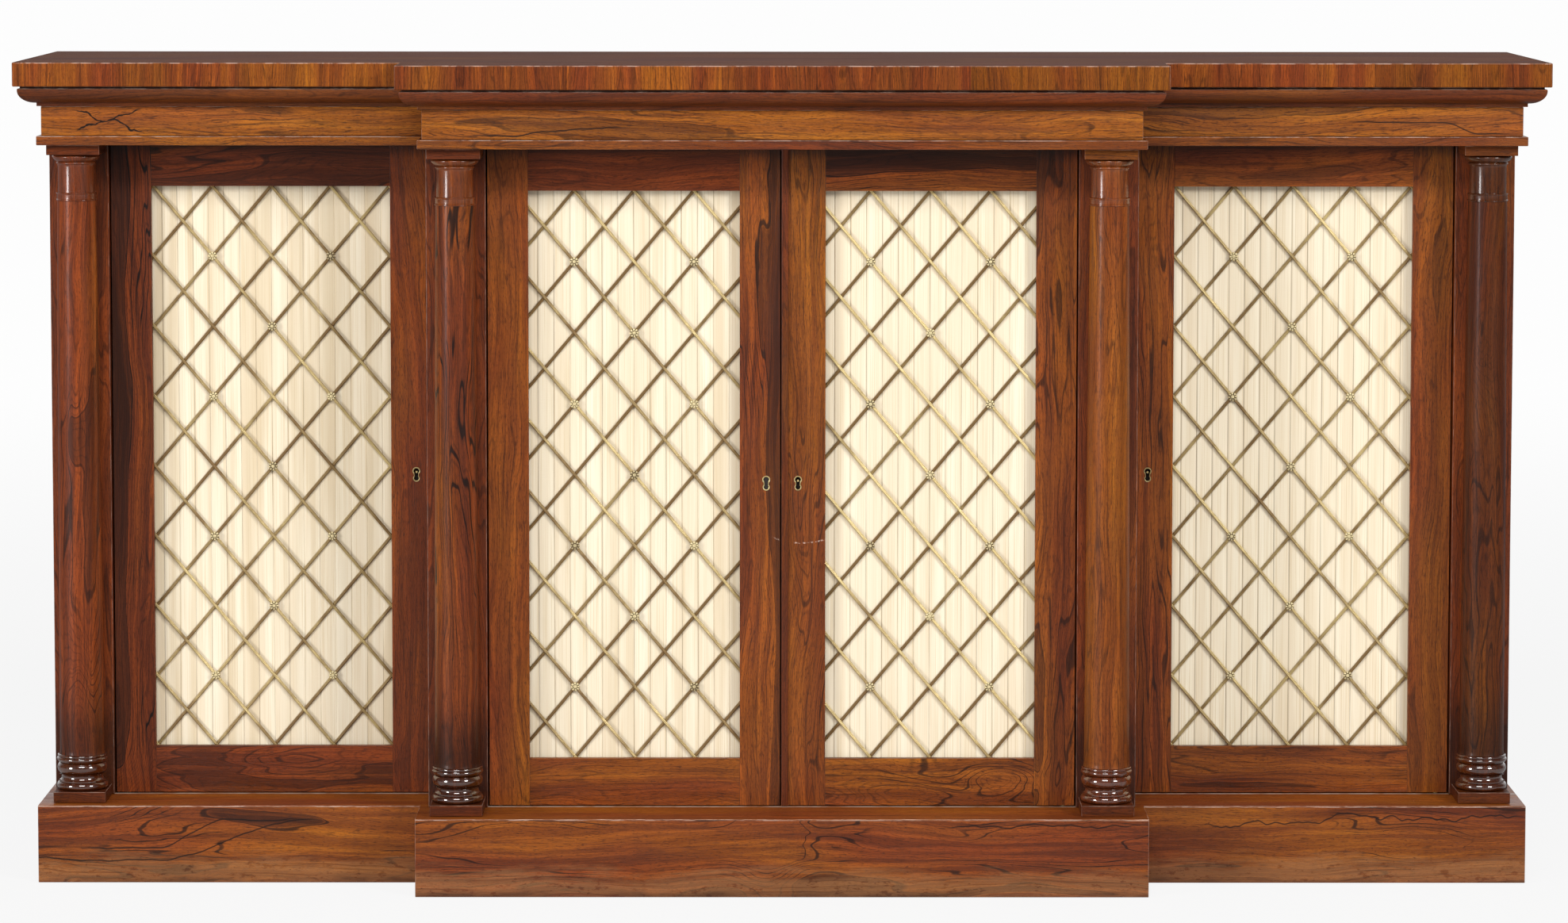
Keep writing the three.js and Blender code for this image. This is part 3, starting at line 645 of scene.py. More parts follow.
def paint_tone(piece, tone, wear_and_highlight=0.0):
    """Gives every face a tone, or keeps the tones that it has, and marks the rounded arrises as worn, which
    also paints a highlight on them.
    """
    mesh = piece.data
    layer = mesh.attributes.get("tone")
    if layer is None:
        layer = mesh.attributes.new("tone", "FLOAT_COLOR", "CORNER")
        for value in layer.data:
            value.color = (*tone, 0.0)
    for face in mesh.polygons:
        if face.material_index == 1:
            # Arrises that face up get the full worn edge and painted highlight, upright ones 0.35 of it,
            # downward ones none
            share = 1.0 if face.normal.z > 0.15 else 0.35 if face.normal.z > -0.15 else 0.0
            for loop in face.loop_indices:
                layer.data[loop].color = (*layer.data[loop].color[:3], wear_and_highlight * share)
            face.material_index = 0


def paint_faces(piece, tarnish_and_shade):
    """Turns the faces outwards and stores one value for each: tarnish, which on the trellis wires also holds
    painted shade.
    """
    layer = piece.data.attributes.new("tone", "FLOAT_COLOR", "CORNER")
    for face, value in zip(piece.data.polygons, tarnish_and_shade):
        for loop in face.loop_indices:
            layer.data[loop].color = (value, 0.0, 0.0, 0.0)
    face_outwards(piece)


def finish_piece(piece, material, body, node=None, smooth=SOFT_ANGLE):
    """Gives a piece its material and shading, and ties it to the frame."""
    mesh = piece.data
    mesh.materials.clear()
    mesh.materials.append(material)
    mesh.shade_smooth()
    mesh.set_sharp_from_angle(angle=math.radians(smooth))
    weighted = piece.modifiers.new("normals", "WEIGHTED_NORMAL")
    weighted.keep_sharp = True
    bake(piece)
    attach(piece, body)
    if node:
        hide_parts(node)


def arc(centre, radii, start, end, steps):
    """Points of an elliptical arc, its angles in degrees."""
    points = []
    for k in range(steps + 1):
        angle = math.radians(start + (end - start) * k / steps)
        points.append((centre[0] + radii[0] * math.cos(angle), centre[1] + radii[1] * math.sin(angle)))
    return points


def circle(x, y, radius, steps):
    turns = (2 * math.pi * k / steps for k in range(steps))
    return [(x + radius * math.cos(angle), y + radius * math.sin(angle)) for angle in turns]


def skin(rows, steps, first=0, closed=False):
    """The faces between rows of points that each run round, and from the last row back if closed."""
    faces = []
    for row in range(rows if closed else rows - 1):
        near = first + row * steps
        far = first + (row + 1) % rows * steps
        for k in range(steps):
            after = (k + 1) % steps
            faces.append((near + k, near + after, far + after, far + k))
    return faces


def lid(row, steps, first=0):
    """The face that closes one row of points."""
    return tuple(range(first + row * steps, first + (row + 1) * steps))


def block_mesh(name, low, high):
    x0, y0, z0 = low
    x1, y1, z1 = high
    points = [(x, y, z) for z in (z0, z1) for y in (y0, y1) for x in (x0, x1)]
    faces = [(0, 2, 3, 1), (4, 5, 7, 6), (0, 1, 5, 4), (2, 6, 7, 3), (0, 4, 6, 2), (1, 3, 7, 5)]
    return bare_object(name, points, faces)


def prism(name, outline, low, high, axis):
    """An outline pushed along an axis: in x and z for axis y, in x and y for axis z."""
    points = [(a, c, b) if axis == "y" else (a, b, c) for c in (low, high) for a, b in outline]
    count = len(outline)
    piece = bare_object(name, points, [lid(0, count), lid(1, count)[::-1], *skin(2, count)])
    face_outwards(piece)
    return piece


def carve(piece, cutters):
    """Cuts other pieces' space out of a piece, and removes them."""
    for cutter in cutters:
        cut = piece.modifiers.new("cut", "BOOLEAN")
        cut.operation = "DIFFERENCE"
        cut.solver = "EXACT"
        cut.object = cutter
    bake(piece)
    for cutter in cutters:
        mesh = cutter.data
        bpy.data.objects.remove(cutter)
        bpy.data.meshes.remove(mesh)


def board(name, low, high, along, tone, node, material, body="carcass", slot="rosewood", arris=0.6, wear_and_highlight=0.5,
          cutters=(), bias=None):
    """A squared board with rounded arrises and its grain along one axis."""
    piece = block_mesh(name, low, high)
    if cutters:
        carve(piece, cutters)
    soften(piece, arris)
    map_grain(piece, along)
    if bias:
        paint_bias(piece, along, bias)
    paint_tone(piece, tone, wear_and_highlight)
    finish_piece(piece, material, body, node)


# Mouldings round the stepped plan
STRIP_VARIETY = 0.09
PLAIN_VARIETY = 0.02
CROSSBAND_SQUEEZE = 1.6


def plan(out, rear):
    """The cabinet's stepped plan, moved out from the plinth's faces."""
    half, centre = PLINTH_HALF + out, CENTRE_HALF + out
    side, middle = SIDE_FRONT - out, CENTRE_FRONT - out
    return [(-half, rear), (-half, side), (-centre, side), (-centre, middle),
            (centre, middle), (centre, side), (half, side), (half, rear)]


def veneer_cuts(length, strips, draw):
    """The shares of a length where its veneer is cut into strips, or only both ends."""
    cuts = [0.0]
    while strips and (1.0 - cuts[-1]) * length > strips[1]:
        cuts.append(cuts[-1] + draw.uniform(*strips) / length)
    return [*cuts, 1.0]


def wrap(name, profile, tone, material, node, arris, wear_and_highlight, closed=False, solid=False, strips=None,
         painted_shading=None):
    """A moulding mitred round the stepped plan, from (out, height) points down its face.

    closed carries it across the back too, and solid fills it, instead of leaving a ring or a U.
    strips cuts the veneer into crossbanded lengths between two sizes."""
    draw = random.Random(name)
    plans = [plan(out, REAR + (out if closed and not solid else 0.0)) for out, _ in profile]
    count = len(profile)
    run = [0.0]
    for a, b in zip(profile, profile[1:] + profile[:1]):
        run.append(run[-1] + math.dist(a, b))
    vary = STRIP_VARIETY if strips else PLAIN_VARIETY
    points, faces, marks = [], [], []
    for segment in range(8 if closed else 7):
        after = (segment + 1) % 8
        way = Vector(plans[0][after]) - Vector(plans[0][segment])
        cuts = veneer_cuts(way.length, strips, draw)
        for shares in zip(cuts, cuts[1:]):
            first = len(points)
            for share in shares:
                for (_, height), places in zip(profile, plans):
                    place = Vector(places[segment]).lerp(Vector(places[after]), share)
                    points.append((place.x, place.y, height))
            offset = (draw.uniform(0, 40), draw.uniform(0, 8))
            light = tone[0] + draw.uniform(-vary, vary)
            gold = tone[1] + draw.uniform(-3, 3) * vary
            for k in range(count - 1 if solid else count):
                k2 = (k + 1) % count
                faces.append((first + k, first + k2, first + count + k2, first + count + k))
                # painted_shading darkens chosen faces of the profile, as painted shade
                colour = (light * (painted_shading[k] if painted_shading else 1.0), gold, tone[2], 0.0)
                marks.append((way.normalized(), run[k], run[k + 1], offset, colour))
    piece = bare_object(name, points, faces)
    map_wrap(piece, marks, strips)
    close_wrap(piece, tone)
    soften(piece, arris)
    paint_tone(piece, tone, wear_and_highlight)
    finish_piece(piece, material, "carcass", node)


def map_wrap(piece, marks, crossbanded):
    """Lays the grain along each stretch of a wrap, or across it, and stores its tones."""
    mesh = piece.data
    layer, toned = blank_layers(mesh)
    for face, (direction, near, far, offset, tone) in zip(mesh.polygons, marks):
        for loop, across in zip(face.loop_indices, (near, far, far, near)):
            place = mesh.vertices[mesh.loops[loop].vertex_index].co
            u = Vector(place[:2]).dot(direction)
            v = across * MM
            if crossbanded:
                layer[loop].uv = (offset[0] + v, offset[1] + u * CROSSBAND_SQUEEZE)
            else:
                layer[loop].uv = (offset[0] + u, offset[1] + v)
            toned[loop].color = tone


def close_wrap(piece, tone):
    """Joins a wrap's stretches, and fills its open ends, top and bottom."""
    shape = bmesh.new()
    shape.from_mesh(piece.data)
    bmesh.ops.remove_doubles(shape, verts=shape.verts, dist=0.001 * MM)
    before = set(shape.faces)
    bmesh.ops.holes_fill(shape, edges=[edge for edge in shape.edges if edge.is_boundary], sides=0)
    bmesh.ops.recalc_face_normals(shape, faces=shape.faces)
    grain = shape.loops.layers.uv["grain"]
    toned = shape.loops.layers.float_color["tone"]
    start, side = shift(piece.name)
    for face in set(shape.faces) - before:
        flat = abs(face.normal.z) > 0.5
        for loop in face.loops:
            x, y, z = loop.vert.co
            loop[grain].uv = (start + x, side + y) if flat else (start + z, side + x + y)
            loop[toned] = (*tone, 0.0)
    shape.to_mesh(piece.data)
    shape.free()


# Top slab, cornice, frieze and bead
def make_top():
    """The slab, its crossbanded edges and its plain top in one piece."""
    edge = [(SLAB_OVERHANG, slab_high.z), (SLAB_OVERHANG, slab_low.z - SLAB_DROP)]
    wrap("top_slab_veneered", edge, (0.385, 0.45, 0.38), TOP_WOOD, "top_slab", 1.3, 0.5,
         closed=True, solid=True, strips=(70, 300))


def cornice_profile():
    moulding_low, moulding_high = corners("cornice_moulding")
    low, high = moulding_low.z, moulding_high.z - SLAB_DROP
    nose = CENTRE_FRONT - moulding_low.y
    face = nose - OVOLO_PROJECTION
    lip_top = high - RECESS_HEIGHT
    curve_top = lip_top - RECESS_SLOPE - CORNICE_LIP
    curve = arc((face, curve_top), (OVOLO_PROJECTION, OVOLO_HEIGHT), 0, -90, 12)
    return [
        (-ENTABLATURE_DEPTH, high), (nose - RECESS_SETBACK, high), (nose - RECESS_SETBACK, lip_top),
        (nose - 0.4, lip_top - 0.3), (nose, lip_top - RECESS_SLOPE), *curve,
        (face, low), (-ENTABLATURE_DEPTH, low),
    ]


def make_entablature():
    profile = cornice_profile()
    # Painted shade: the faces of the recess under the slab are darkened to a fifth to a third of their tone
    painted_recess_shade = [0.25, 0.2, 0.3]
    painted_shading = painted_recess_shade + [1.0] * (len(profile) - len(painted_recess_shade))
    wrap("cornice", profile, (0.27, 0.2, 0.3), WOOD, "cornice_moulding", 0.35, 0.5, painted_shading=painted_shading)
    for name, node, tone, material, arris in (
        ("frieze_veneered", "frieze", (0.40, 0.8, 0.6), FRIEZE_WOOD, 0.5),
        ("bead_veneered", "architrave_bead", (0.36, 0.4, 0.5), WOOD, 0.9),
    ):
        low, high = corners(node)
        out = CENTRE_FRONT - low.y
        profile = [(-ENTABLATURE_DEPTH, high.z), (out, high.z), (out, low.z), (-ENTABLATURE_DEPTH, low.z)]
        wrap(name, profile, tone, material, node, arris, 0.45)


# Plinth
def make_plinth():
    top_low, top_high = corners("plinth_top")
    seam = top_high.z - VENEER * 0.6
    under = top_low.z - 0.3
    inner = -20.0
    boards = [(inner, under), (-VENEER, under), (-VENEER, seam), (0.0, seam), (0.0, 0.0), (inner, 0.0)]
    wrap("plinth_boards", boards, (0.365, 0.3, 0.8), PLINTH_WOOD, "plinth_frame", 1.0, 0.6,
         closed=True)
    lip, tongue = seam + 0.05, -VENEER - 0.1
    ledge = [(0.0, top_high.z), (0.0, lip), (tongue, lip), (tongue, top_low.z)]
    wrap("plinth_shelf", ledge, (0.49, 0.45, 0.15), LEDGE_WOOD, "plinth_top", 0.6, 1.0,
         closed=True, solid=True)


# Columns
TURNING_STEPS = 56
SHAFT_RADIUS = 25.0
SHAFT_TAPER = 3.4
SHAFT_SWELL = 0.35
SHAFT_FLARE = 5.0
# For each column: its shaft's lightness, gold and figure, its base's lightness, and how smoked its foot is
COLUMNS = {
    "left_outer": ((0.45, 0.1, 0.7), 0.13, 0.6), "left_centre": ((0.37, 0.2, 0.9), 0.11, 0.75),
    "right_centre": ((0.39, 0.5, 0.4), 0.24, 0.15), "right_outer": ((0.19, 0.2, 0.6), 0.13, 0.5),
}


def ring_curve(radius, z, bulge, half_height, start, end, steps):
    """A turned ring's outline, with its widest point at that radius and height."""
    return arc((radius - bulge, z), (bulge, half_height), start, end, steps)


def lathe(name, profile, x, y, tone, material, node):
    """A turning from a (radius, height) profile that starts and ends on the axis."""
    rows = profile[1:-1]
    points = [(a, b, height) for radius, height in rows for a, b in circle(x, y, radius, TURNING_STEPS)]
    start, side = shift(name)
    reach = SHAFT_RADIUS * 2 * math.pi / TURNING_STEPS * MM
    uvs = []
    for low, high in zip(rows, rows[1:]):
        near = start + low[1] * MM
        far = start + (high[1] + abs(high[0] - low[0])) * MM
        for k in range(TURNING_STEPS):
            left, right = side + k * reach, side + (k + 1) * reach
            uvs.append([(near, left), (near, right), (far, right), (far, left)])
    lids = [lid(0, TURNING_STEPS)[::-1], lid(len(rows) - 1, TURNING_STEPS)]
    uvs += [[(start + points[c][0] * MM, side + points[c][1] * MM) for c in cap] for cap in lids]
    piece = bare_object(name, points, skin(len(rows), TURNING_STEPS) + lids)
    layer = piece.data.uv_layers.new(name="grain")
    for face, places in zip(piece.data.polygons, uvs):
        for loop, uv in zip(face.loop_indices, places):
            layer.data[loop].uv = uv
    paint_tone(piece, tone)
    finish_piece(piece, material, "carcass", node, smooth=32.0)


def column_base_profile(z):
    """The base's rings from its foot at z, and the height where they end."""
    profile = [(0.0, z), *ring_curve(28.7, z + 4.55, 4.55, 4.55, -80, 80, 9)]
    z += 9.1
    profile += [(26.6, z + 0.1), (26.6, z + 1.2), (25.4, z + 1.4)]
    z += 1.3
    profile += [(24.0, z + 1.5), (23.3, z + 3.4), (23.6, z + 5.2), (25.2, z + 6.8), (26.4, z + 7.2)]
    z += 7.4
    profile += ring_curve(28.0, z + 6.8, 6.4, 6.8, -72, 76, 11)
    z += 13.6
    profile += [(26.8, z + 0.1), (27.2, z + 0.7)]
    z += 0.6
    profile += ring_curve(28.6, z + 2.5, 2.1, 2.1, -62, 70, 7)
    profile += [(27.1, z + 4.7)]
    profile += ring_curve(27.7, z + 6.3, 1.5, 1.5, -70, 85, 6)
    z += 8.0
    return profile + [(25.6, z), (0.0, z)], z


def column_capital_profile(top):
    """The capital's rings up to its top, and the height where they start."""
    echinus = top - 8.0
    annulet = echinus - 3.0
    neck = annulet - 31.4
    astragal = neck - 9.2
    profile = [(0.0, astragal), (22.0, astragal)]
    profile += ring_curve(22.7, astragal + 1.0, 0.9, 0.9, -80, 60, 4)
    profile += [(22.0, astragal + 2.1), (22.0, astragal + 7.0)]
    profile += ring_curve(22.7, neck - 1.0, 0.9, 0.9, -60, 80, 4)
    profile += [(20.6, neck + 0.1), (20.5, neck + 12), (20.5, annulet - 2.0), (21.0, annulet - 0.4)]
    profile += ring_curve(22.2, annulet + 1.5, 1.4, 1.4, -75, 75, 6)
    profile += [(21.6, echinus + 0.3)]
    for share, rise in ((0.22, 0.10), (0.48, 0.24), (0.72, 0.42), (0.9, 0.64)):
        profile.append((21.6 + 4.6 * share, echinus + 0.3 + 5.5 * rise))
    profile += ring_curve(26.6, top - 2.6, 1.8, 2.0, -10, 82, 6)
    return profile + [(0.0, top)], astragal


def shaft_profile(bottom, top):
    start = bottom + SHAFT_FLARE
    profile = [(0.0, bottom), (25.7, bottom), (25.2, bottom + 2.0), (SHAFT_RADIUS, start)]
    for share in (0.15, 0.3, 0.45, 0.6, 0.75, 0.9, 1.0):
        radius = SHAFT_RADIUS - SHAFT_TAPER * share + SHAFT_SWELL * math.sin(math.pi * share)
        profile.append((radius, start + (top - bottom - SHAFT_FLARE) * share))
    return [*profile, (0.0, top)]


def make_column(label, tone, base_light, smoke):
    node = f"column_{label}"
    low, high = corners(node)
    x, y, _ = middle(node)
    base, shaft_bottom = column_base_profile(low.z)
    capital, shaft_top = column_capital_profile(high.z)
    shaft_wood = rosewood(f"rosewood_shaft_{label}", smoked=smoke, **TURNED)
    lathe(f"column_base_{label}", base, x, y, (base_light, 0.0, 0.3), BASE_WOOD, node)
    lathe(f"column_capital_{label}", capital, x, y, (tone[0] * 0.85, 0.1, 0.3), CAPITAL_WOOD, node)
    lathe(f"column_shaft_{label}", shaft_profile(shaft_bottom, shaft_top), x, y, tone, shaft_wood, node)
    for part, light in ((f"column_block_{label}", 0.19), (f"abacus_{label}", 0.24)):
        board(f"{part}_veneered", *corners(part), "x", (light, 0.1, 0.3), part, BLOCK_WOOD,
              slot="rosewood_dark", arris=0.7, wear_and_highlight=0.3)
    part = f"pilaster_{label}"
    board(f"{part}_veneered", *corners(part), "z", (0.42, 0.0, 0.5), part, PILASTER_WOOD, arris=0.8, wear_and_highlight=0.6)


# Doors
KEYHOLE_HALF = 8.3
HEAD_RADIUS = 4.4
FOOT_RADIUS = 3.9
KEYHOLE_GAP = 0.15
KEYHOLE_DEPTH = 11.0
PIN_HOLE_RADIUS = 2.9
BOLT_GAP = 0.3
BOLT_MORTISE = 8.0
BOARD_JOINT = 0.06
PAST = 3.0


def roomy_box(node, gap):
    """A node's corners, moved out by a gap."""
    low, high = corners(node)
    room = Vector((gap, gap, gap))
    return low - room, high + room


def keyhole_outline(name, grow=0.0):
    x, _, z = middle(f"{name}_escutcheon")
    head, foot = HEAD_RADIUS + grow, FOOT_RADIUS + grow
    head_z, foot_z = z + KEYHOLE_HALF - HEAD_RADIUS, z - KEYHOLE_HALF + FOOT_RADIUS
    return [*arc((x, head_z), (head, head), -46, 226, 20), *arc((x, foot_z), (foot, foot), 137, 403, 16)]


def door_places(name):
    frame_low, frame_high = corners(f"{name}_frame")
    net_low, net_high = corners(f"{name}_trellis")
    return {
        "low": frame_low, "high": frame_high, "front": frame_low.y, "back": frame_high.y,
        "left": net_low.x + REBATE_MARGIN, "right": net_high.x - REBATE_MARGIN,
        "bottom": net_low.z + REBATE_MARGIN, "top": net_high.z - REBATE_MARGIN,
    }


def free_stile_cutters(name, door, places):
    """The keyhole and the bolt's slot, and in the dummy stile the mortise that the other bolt enters."""
    front = places["front"]
    hole = keyhole_outline(name, KEYHOLE_GAP)
    cutters = [prism("keyhole_cutter", hole, front - PAST, front + KEYHOLE_DEPTH, "y")]
    low, high = roomy_box("centre_left_door_flush_bolt" if door["dummy"] else f"{name}_lock_bolt", BOLT_GAP)
    edge = places["high"].x if door["side"] < 0 else places["low"].x
    if door["side"] < 0:
        high.x = edge + PAST
    else:
        low.x = edge - PAST
    if door["dummy"]:
        high.z = places["high"].z + PAST
    cutters.append(block_mesh("bolt_cutter", low, high))
    if door["dummy"]:
        low, high = roomy_box("centre_right_door_lock_bolt", BOLT_GAP)
        cutters.append(block_mesh("mortise_cutter", (edge - BOLT_MORTISE, low.y, low.z),
                                  (edge + PAST, high.y, high.z)))
    return cutters


def hinge_stile_cutters(name, places):
    """The holes of the two pivots' pins."""
    cutters = []
    for end in ("top", "bottom"):
        low, high = corners(f"{name}_pivot_{end}")
        x, y, _ = middle(f"{name}_pivot_{end}")
        reach = (low.z - 1, places["high"].z + PAST) if end == "top" else (places["low"].z - PAST, high.z + 1)
        hole = arc((x, y), (PIN_HOLE_RADIUS, PIN_HOLE_RADIUS), 0, 345, 23)
        cutters.append(prism("pin_cutter", hole, *reach, "z"))
    return cutters


def board_cutters(name, door, places, kind):
    low = (places["left"] - REBATE_WIDTH, places["front"] + REBATE_DEPTH, places["bottom"] - REBATE_WIDTH)
    high = (places["right"] + REBATE_WIDTH, places["back"] + PAST, places["top"] + REBATE_WIDTH)
    cutters = [block_mesh("rebate_cutter", low, high)]
    if kind == "free_stile":
        cutters += free_stile_cutters(name, door, places)
    if kind == "hinge_stile":
        cutters += hinge_stile_cutters(name, places)
    return cutters


def make_frame(name, door, places):
    low, high, left, right = places["low"], places["high"], places["left"], places["right"]
    kinds = ("hinge_stile", "free_stile") if door["side"] < 0 else ("free_stile", "hinge_stile")
    rail_left, rail_right = left + BOARD_JOINT, right - BOARD_JOINT
    for place, kind, along, x0, x1, z0, z1 in (
        ("left", kinds[0], "z", low.x, left, low.z, high.z),
        ("right", kinds[1], "z", right, high.x, low.z, high.z),
        ("bottom", "rail", "x", rail_left, rail_right, low.z, places["bottom"]),
        ("top", "rail", "x", rail_left, rail_right, places["top"], high.z),
    ):
        light, gold, figure, *bias = door[place]
        board(f"{name}_{place}", (x0, places["front"], z0), (x1, places["back"], z1), along,
              (light, gold, figure), f"{name}_frame", DOOR_WOOD, body=name, arris=0.3, wear_and_highlight=0.08,
              cutters=board_cutters(name, door, places, kind), bias=bias)


# Trellis
WIRE_SIDE = [(1.75, 0.0), (1.65, 0.62), (1.27, 1.1), (0.72, 1.42), (0.24, 1.3)]
WIRE_SECTION = [(-a, b) for a, b in WIRE_SIDE] + [(0.0, 1.12)] + WIRE_SIDE[::-1]
WIRE_BASES = {1: 11.2, -1: 9.75}
WIRE_TUCK = 5.0
SHORTEST_WIRE = 4.0
WIRE_TARNISH_SPREAD = 0.3
ROSETTE_BASE = 8.35
ROSETTE_RADIUS = 5.2
PETALS = 8
PETAL_STEPS = PETALS * 6
# Of each ring of a rosette: its share of the radius, its rise, and how tarnished it is past the next
ROSETTE_RINGS = [
    (0.2, 2.4, 0.0), (0.34, 1.9, 0.0), (0.4, 1.0, 0.8), (0.52, 1.5, 0.2), (0.72, 1.55, 0.0), (0.9, 1.1, 0.0),
    (1.0, 0.2, 0.4),
]


def wire_ends(centre, slope, window):
    """Where a line through centre with that slope leaves the window, or None."""
    left, right, bottom, top = window
    ends = []
    for x in (left, right):
        z = centre[1] + (x - centre[0]) * slope
        if bottom <= z <= top:
            ends.append((x, z))
    for z in (bottom, top):
        x = centre[0] + (z - centre[1]) / slope
        if left < x < right:
            ends.append((x, z))
    ends.sort()
    if len(ends) < 2 or math.dist(ends[0], ends[-1]) < SHORTEST_WIRE:
        return None
    return ends[0], ends[-1]


def make_trellis(name, door, places):
    pitch_z = (places["top"] - places["bottom"]) / DIAMOND_ROWS
    centre_x = (places["left"] + places["right"]) / 2
    middle_z = (places["top"] + places["bottom"]) / 2
    window = (places["left"] - WIRE_TUCK, places["right"] + WIRE_TUCK, places["bottom"] - WIRE_TUCK,
              places["top"] + WIRE_TUCK)
    size = len(WIRE_SECTION)
    draw = random.Random(name)
    points, faces, tarnish_and_shade = [], [], []
    for lean, base in WIRE_BASES.items():
        slope = lean * pitch_z / DIAMOND_WIDTH
        side = Vector((-slope, 1.0)).normalized()
        for k in range(-8, 9):
            ends = wire_ends((centre_x + k * DIAMOND_WIDTH, middle_z), slope, window)
            if ends is None:
                continue
            first = len(points)
            for x, z in ends:
                for across, rise in WIRE_SECTION:
                    points.append((x + side.x * across, places["front"] + base - rise, z + side.y * across))
            faces += [*skin(2, size, first), lid(0, size, first), lid(1, size, first)[::-1]]
            # Painted light: the back wires get the door's second, higher tarnish as painted shade, and the
            # front wires the first, so they read as lit
            own = door["tarnish_and_shade"][lean > 0] + draw.uniform(0.0, WIRE_TARNISH_SPREAD)
            tarnish_and_shade += [own] * (size + 2)
    net = bare_object(f"{name}_wires", points, faces)
    paint_faces(net, tarnish_and_shade)
    finish_piece(net, BRASS, name, f"{name}_trellis", smooth=50)
    crossings = []
    for row in range(1, DIAMOND_ROWS):
        shares = (-1, 1) if row % 2 else (0,)
        crossings += [(centre_x + s * DIAMOND_WIDTH, places["top"] - row * pitch_z) for s in shares]
    make_rosettes(name, crossings, places["front"] + ROSETTE_BASE)


def rosette_points(x, base, z, turn):
    """Rings of petals from the boss to the rim, and a last ring behind them."""
    points = []
    angles = [2 * math.pi * (k + turn) / PETAL_STEPS for k in range(PETAL_STEPS)]
    for share, rise, _ in ROSETTE_RINGS:
        for k, angle in enumerate(angles):
            valley = 1 - abs(math.cos(PETALS * math.pi * k / PETAL_STEPS))
            reach = ROSETTE_RADIUS * share * (1 - 0.17 * valley * max(0.0, share - 0.3))
            height = rise * (1 - 0.45 * valley ** 2 * (share > 0.4))
            points.append((x + reach * math.cos(angle), base - height, z + reach * math.sin(angle)))
    back = ROSETTE_RADIUS * 0.9
    return points + [(x + back * math.cos(angle), base + 0.2, z + back * math.sin(angle)) for angle in angles]


def make_rosettes(door_name, centres, base):
    """Small round flowers with a boss and eight petals, over the crossings of the wires."""
    name = f"{door_name}_rosettes"
    draw = random.Random(name)
    rings = len(ROSETTE_RINGS)
    points, faces, tarnish_and_shade = [], [], []
    for x, z in centres:
        first = len(points)
        turn, own = draw.uniform(0, 1), draw.uniform(-0.3, 0.35)
        points += rosette_points(x, base, z, turn)
        faces += skin(rings + 1, PETAL_STEPS, first)
        faces += [lid(0, PETAL_STEPS, first), lid(rings, PETAL_STEPS, first)]
        for row, (_, _, groove) in enumerate(ROSETTE_RINGS):
            for k in range(PETAL_STEPS):
                valley = 1 - abs(math.cos(PETALS * math.pi * (k + 0.5) / PETAL_STEPS))
                tarnish_and_shade.append(own + groove + (1.5 * valley ** 2 if row > 2 else 0.0))
        tarnish_and_shade += [own, own]
    piece = bare_object(name, points, faces)
    paint_faces(piece, tarnish_and_shade)
    finish_piece(piece, PALE_BRASS, door_name, smooth=60)


# Silk
PLEAT_LAP = 6.0
SILK_ROWS = 27
SILK_THICKNESS = 0.12


def pleat_line(left, right, front, deep):
    """The section of a row of knife pleats, as (x, y, crease_shade): each laps under the next, and
    crease_shade paints shade along the folds.
    """
    count = round((right - left) / PLEAT)
    width = (right - left) / count
    line = [(left, front, 0.0)]
    for k in range(count):
        edge = left + (k + 1) * width
        turned = edge - PLEAT_LAP
        fold = [
            (edge - width + 0.8, 0.0, 0.0), (edge - width * 0.65, 0.08, 0.0), (edge - width * 0.3, 0.25, 0.0),
            (edge - 1.2, 0.4, 0.0), (edge - 0.5, 0.5, 1.0),
        ]
        if k < count - 1:
            fold += [
                (edge, 0.6, 1.0), (edge + 0.35, 0.75, 1.0), (edge, 0.88, 1.0),
                (turned, 1.0, 0.3), (turned - 0.3, 0.88, 0.3), (turned, 0.75, 0.3),
                (edge - 0.8, 0.4, 1.0), (edge - 0.1, 0.0, 0.35),
            ]
        else:
            fold.append((edge, 0.5, 0.0))
        line += [(x, front + deep * share, crease_shade) for x, share, crease_shade in fold]
    return line


def make_silk(name, door):
    low, high = corners(f"{name}_silk")
    deep = high.y - low.y - 1.0
    line = pleat_line(low.x, high.x, low.y + 0.5, deep * 0.62)
    draw = random.Random(name)
    phases = [draw.uniform(0, 2 * math.pi) for _ in range(6)]
    soft = door["soft"]
    run = [0.0]
    for a, b in zip(line, line[1:]):
        run.append(run[-1] + math.dist(a[:2], b[:2]))
    points = []
    for row in range(SILK_ROWS):
        share = row / (SILK_ROWS - 1)
        z = low.z + (high.z - low.z) * share
        for x, y, _ in line:
            wave = math.sin(x / 23 + phases[0] + 0.8 * math.sin(share * 3 + phases[1]))
            wave += 0.6 * math.sin(x / 11.3 + phases[2] + 1.4 * math.sin(share * 4 + phases[3]))
            drift = 0.5 * soft * math.sin(x / 31 + phases[4] + share * 5)
            points.append((x + drift, y + deep * 0.16 * (1 + soft * wave * 0.62), z))
    count = len(line)
    starts = [row * count + k for row in range(SILK_ROWS - 1) for k in range(count - 1)]
    faces = [(a, a + 1, a + count + 1, a + count) for a in starts]
    cloth = bare_object(f"{name}_pleated_silk", points, faces)
    mesh = cloth.data
    layer, crease_shade = blank_layers(mesh)
    start, side = shift(cloth.name)
    for loop in mesh.loops:
        index = loop.vertex_index
        layer[loop.index].uv = (start + mesh.vertices[index].co.z, side + run[index % count] * MM)
        # The tone carries the painted crease shade and the door's share of painted fold shade
        crease_shade[loop.index].color = (line[index % count][2], soft, 0.0, 0.0)
    thick = cloth.modifiers.new("thickness", "SOLIDIFY")
    thick.thickness = SILK_THICKNESS * MM
    thick.offset = 0.0
    bake(cloth)
    finish_piece(cloth, SILK, name, f"{name}_silk", smooth=80)


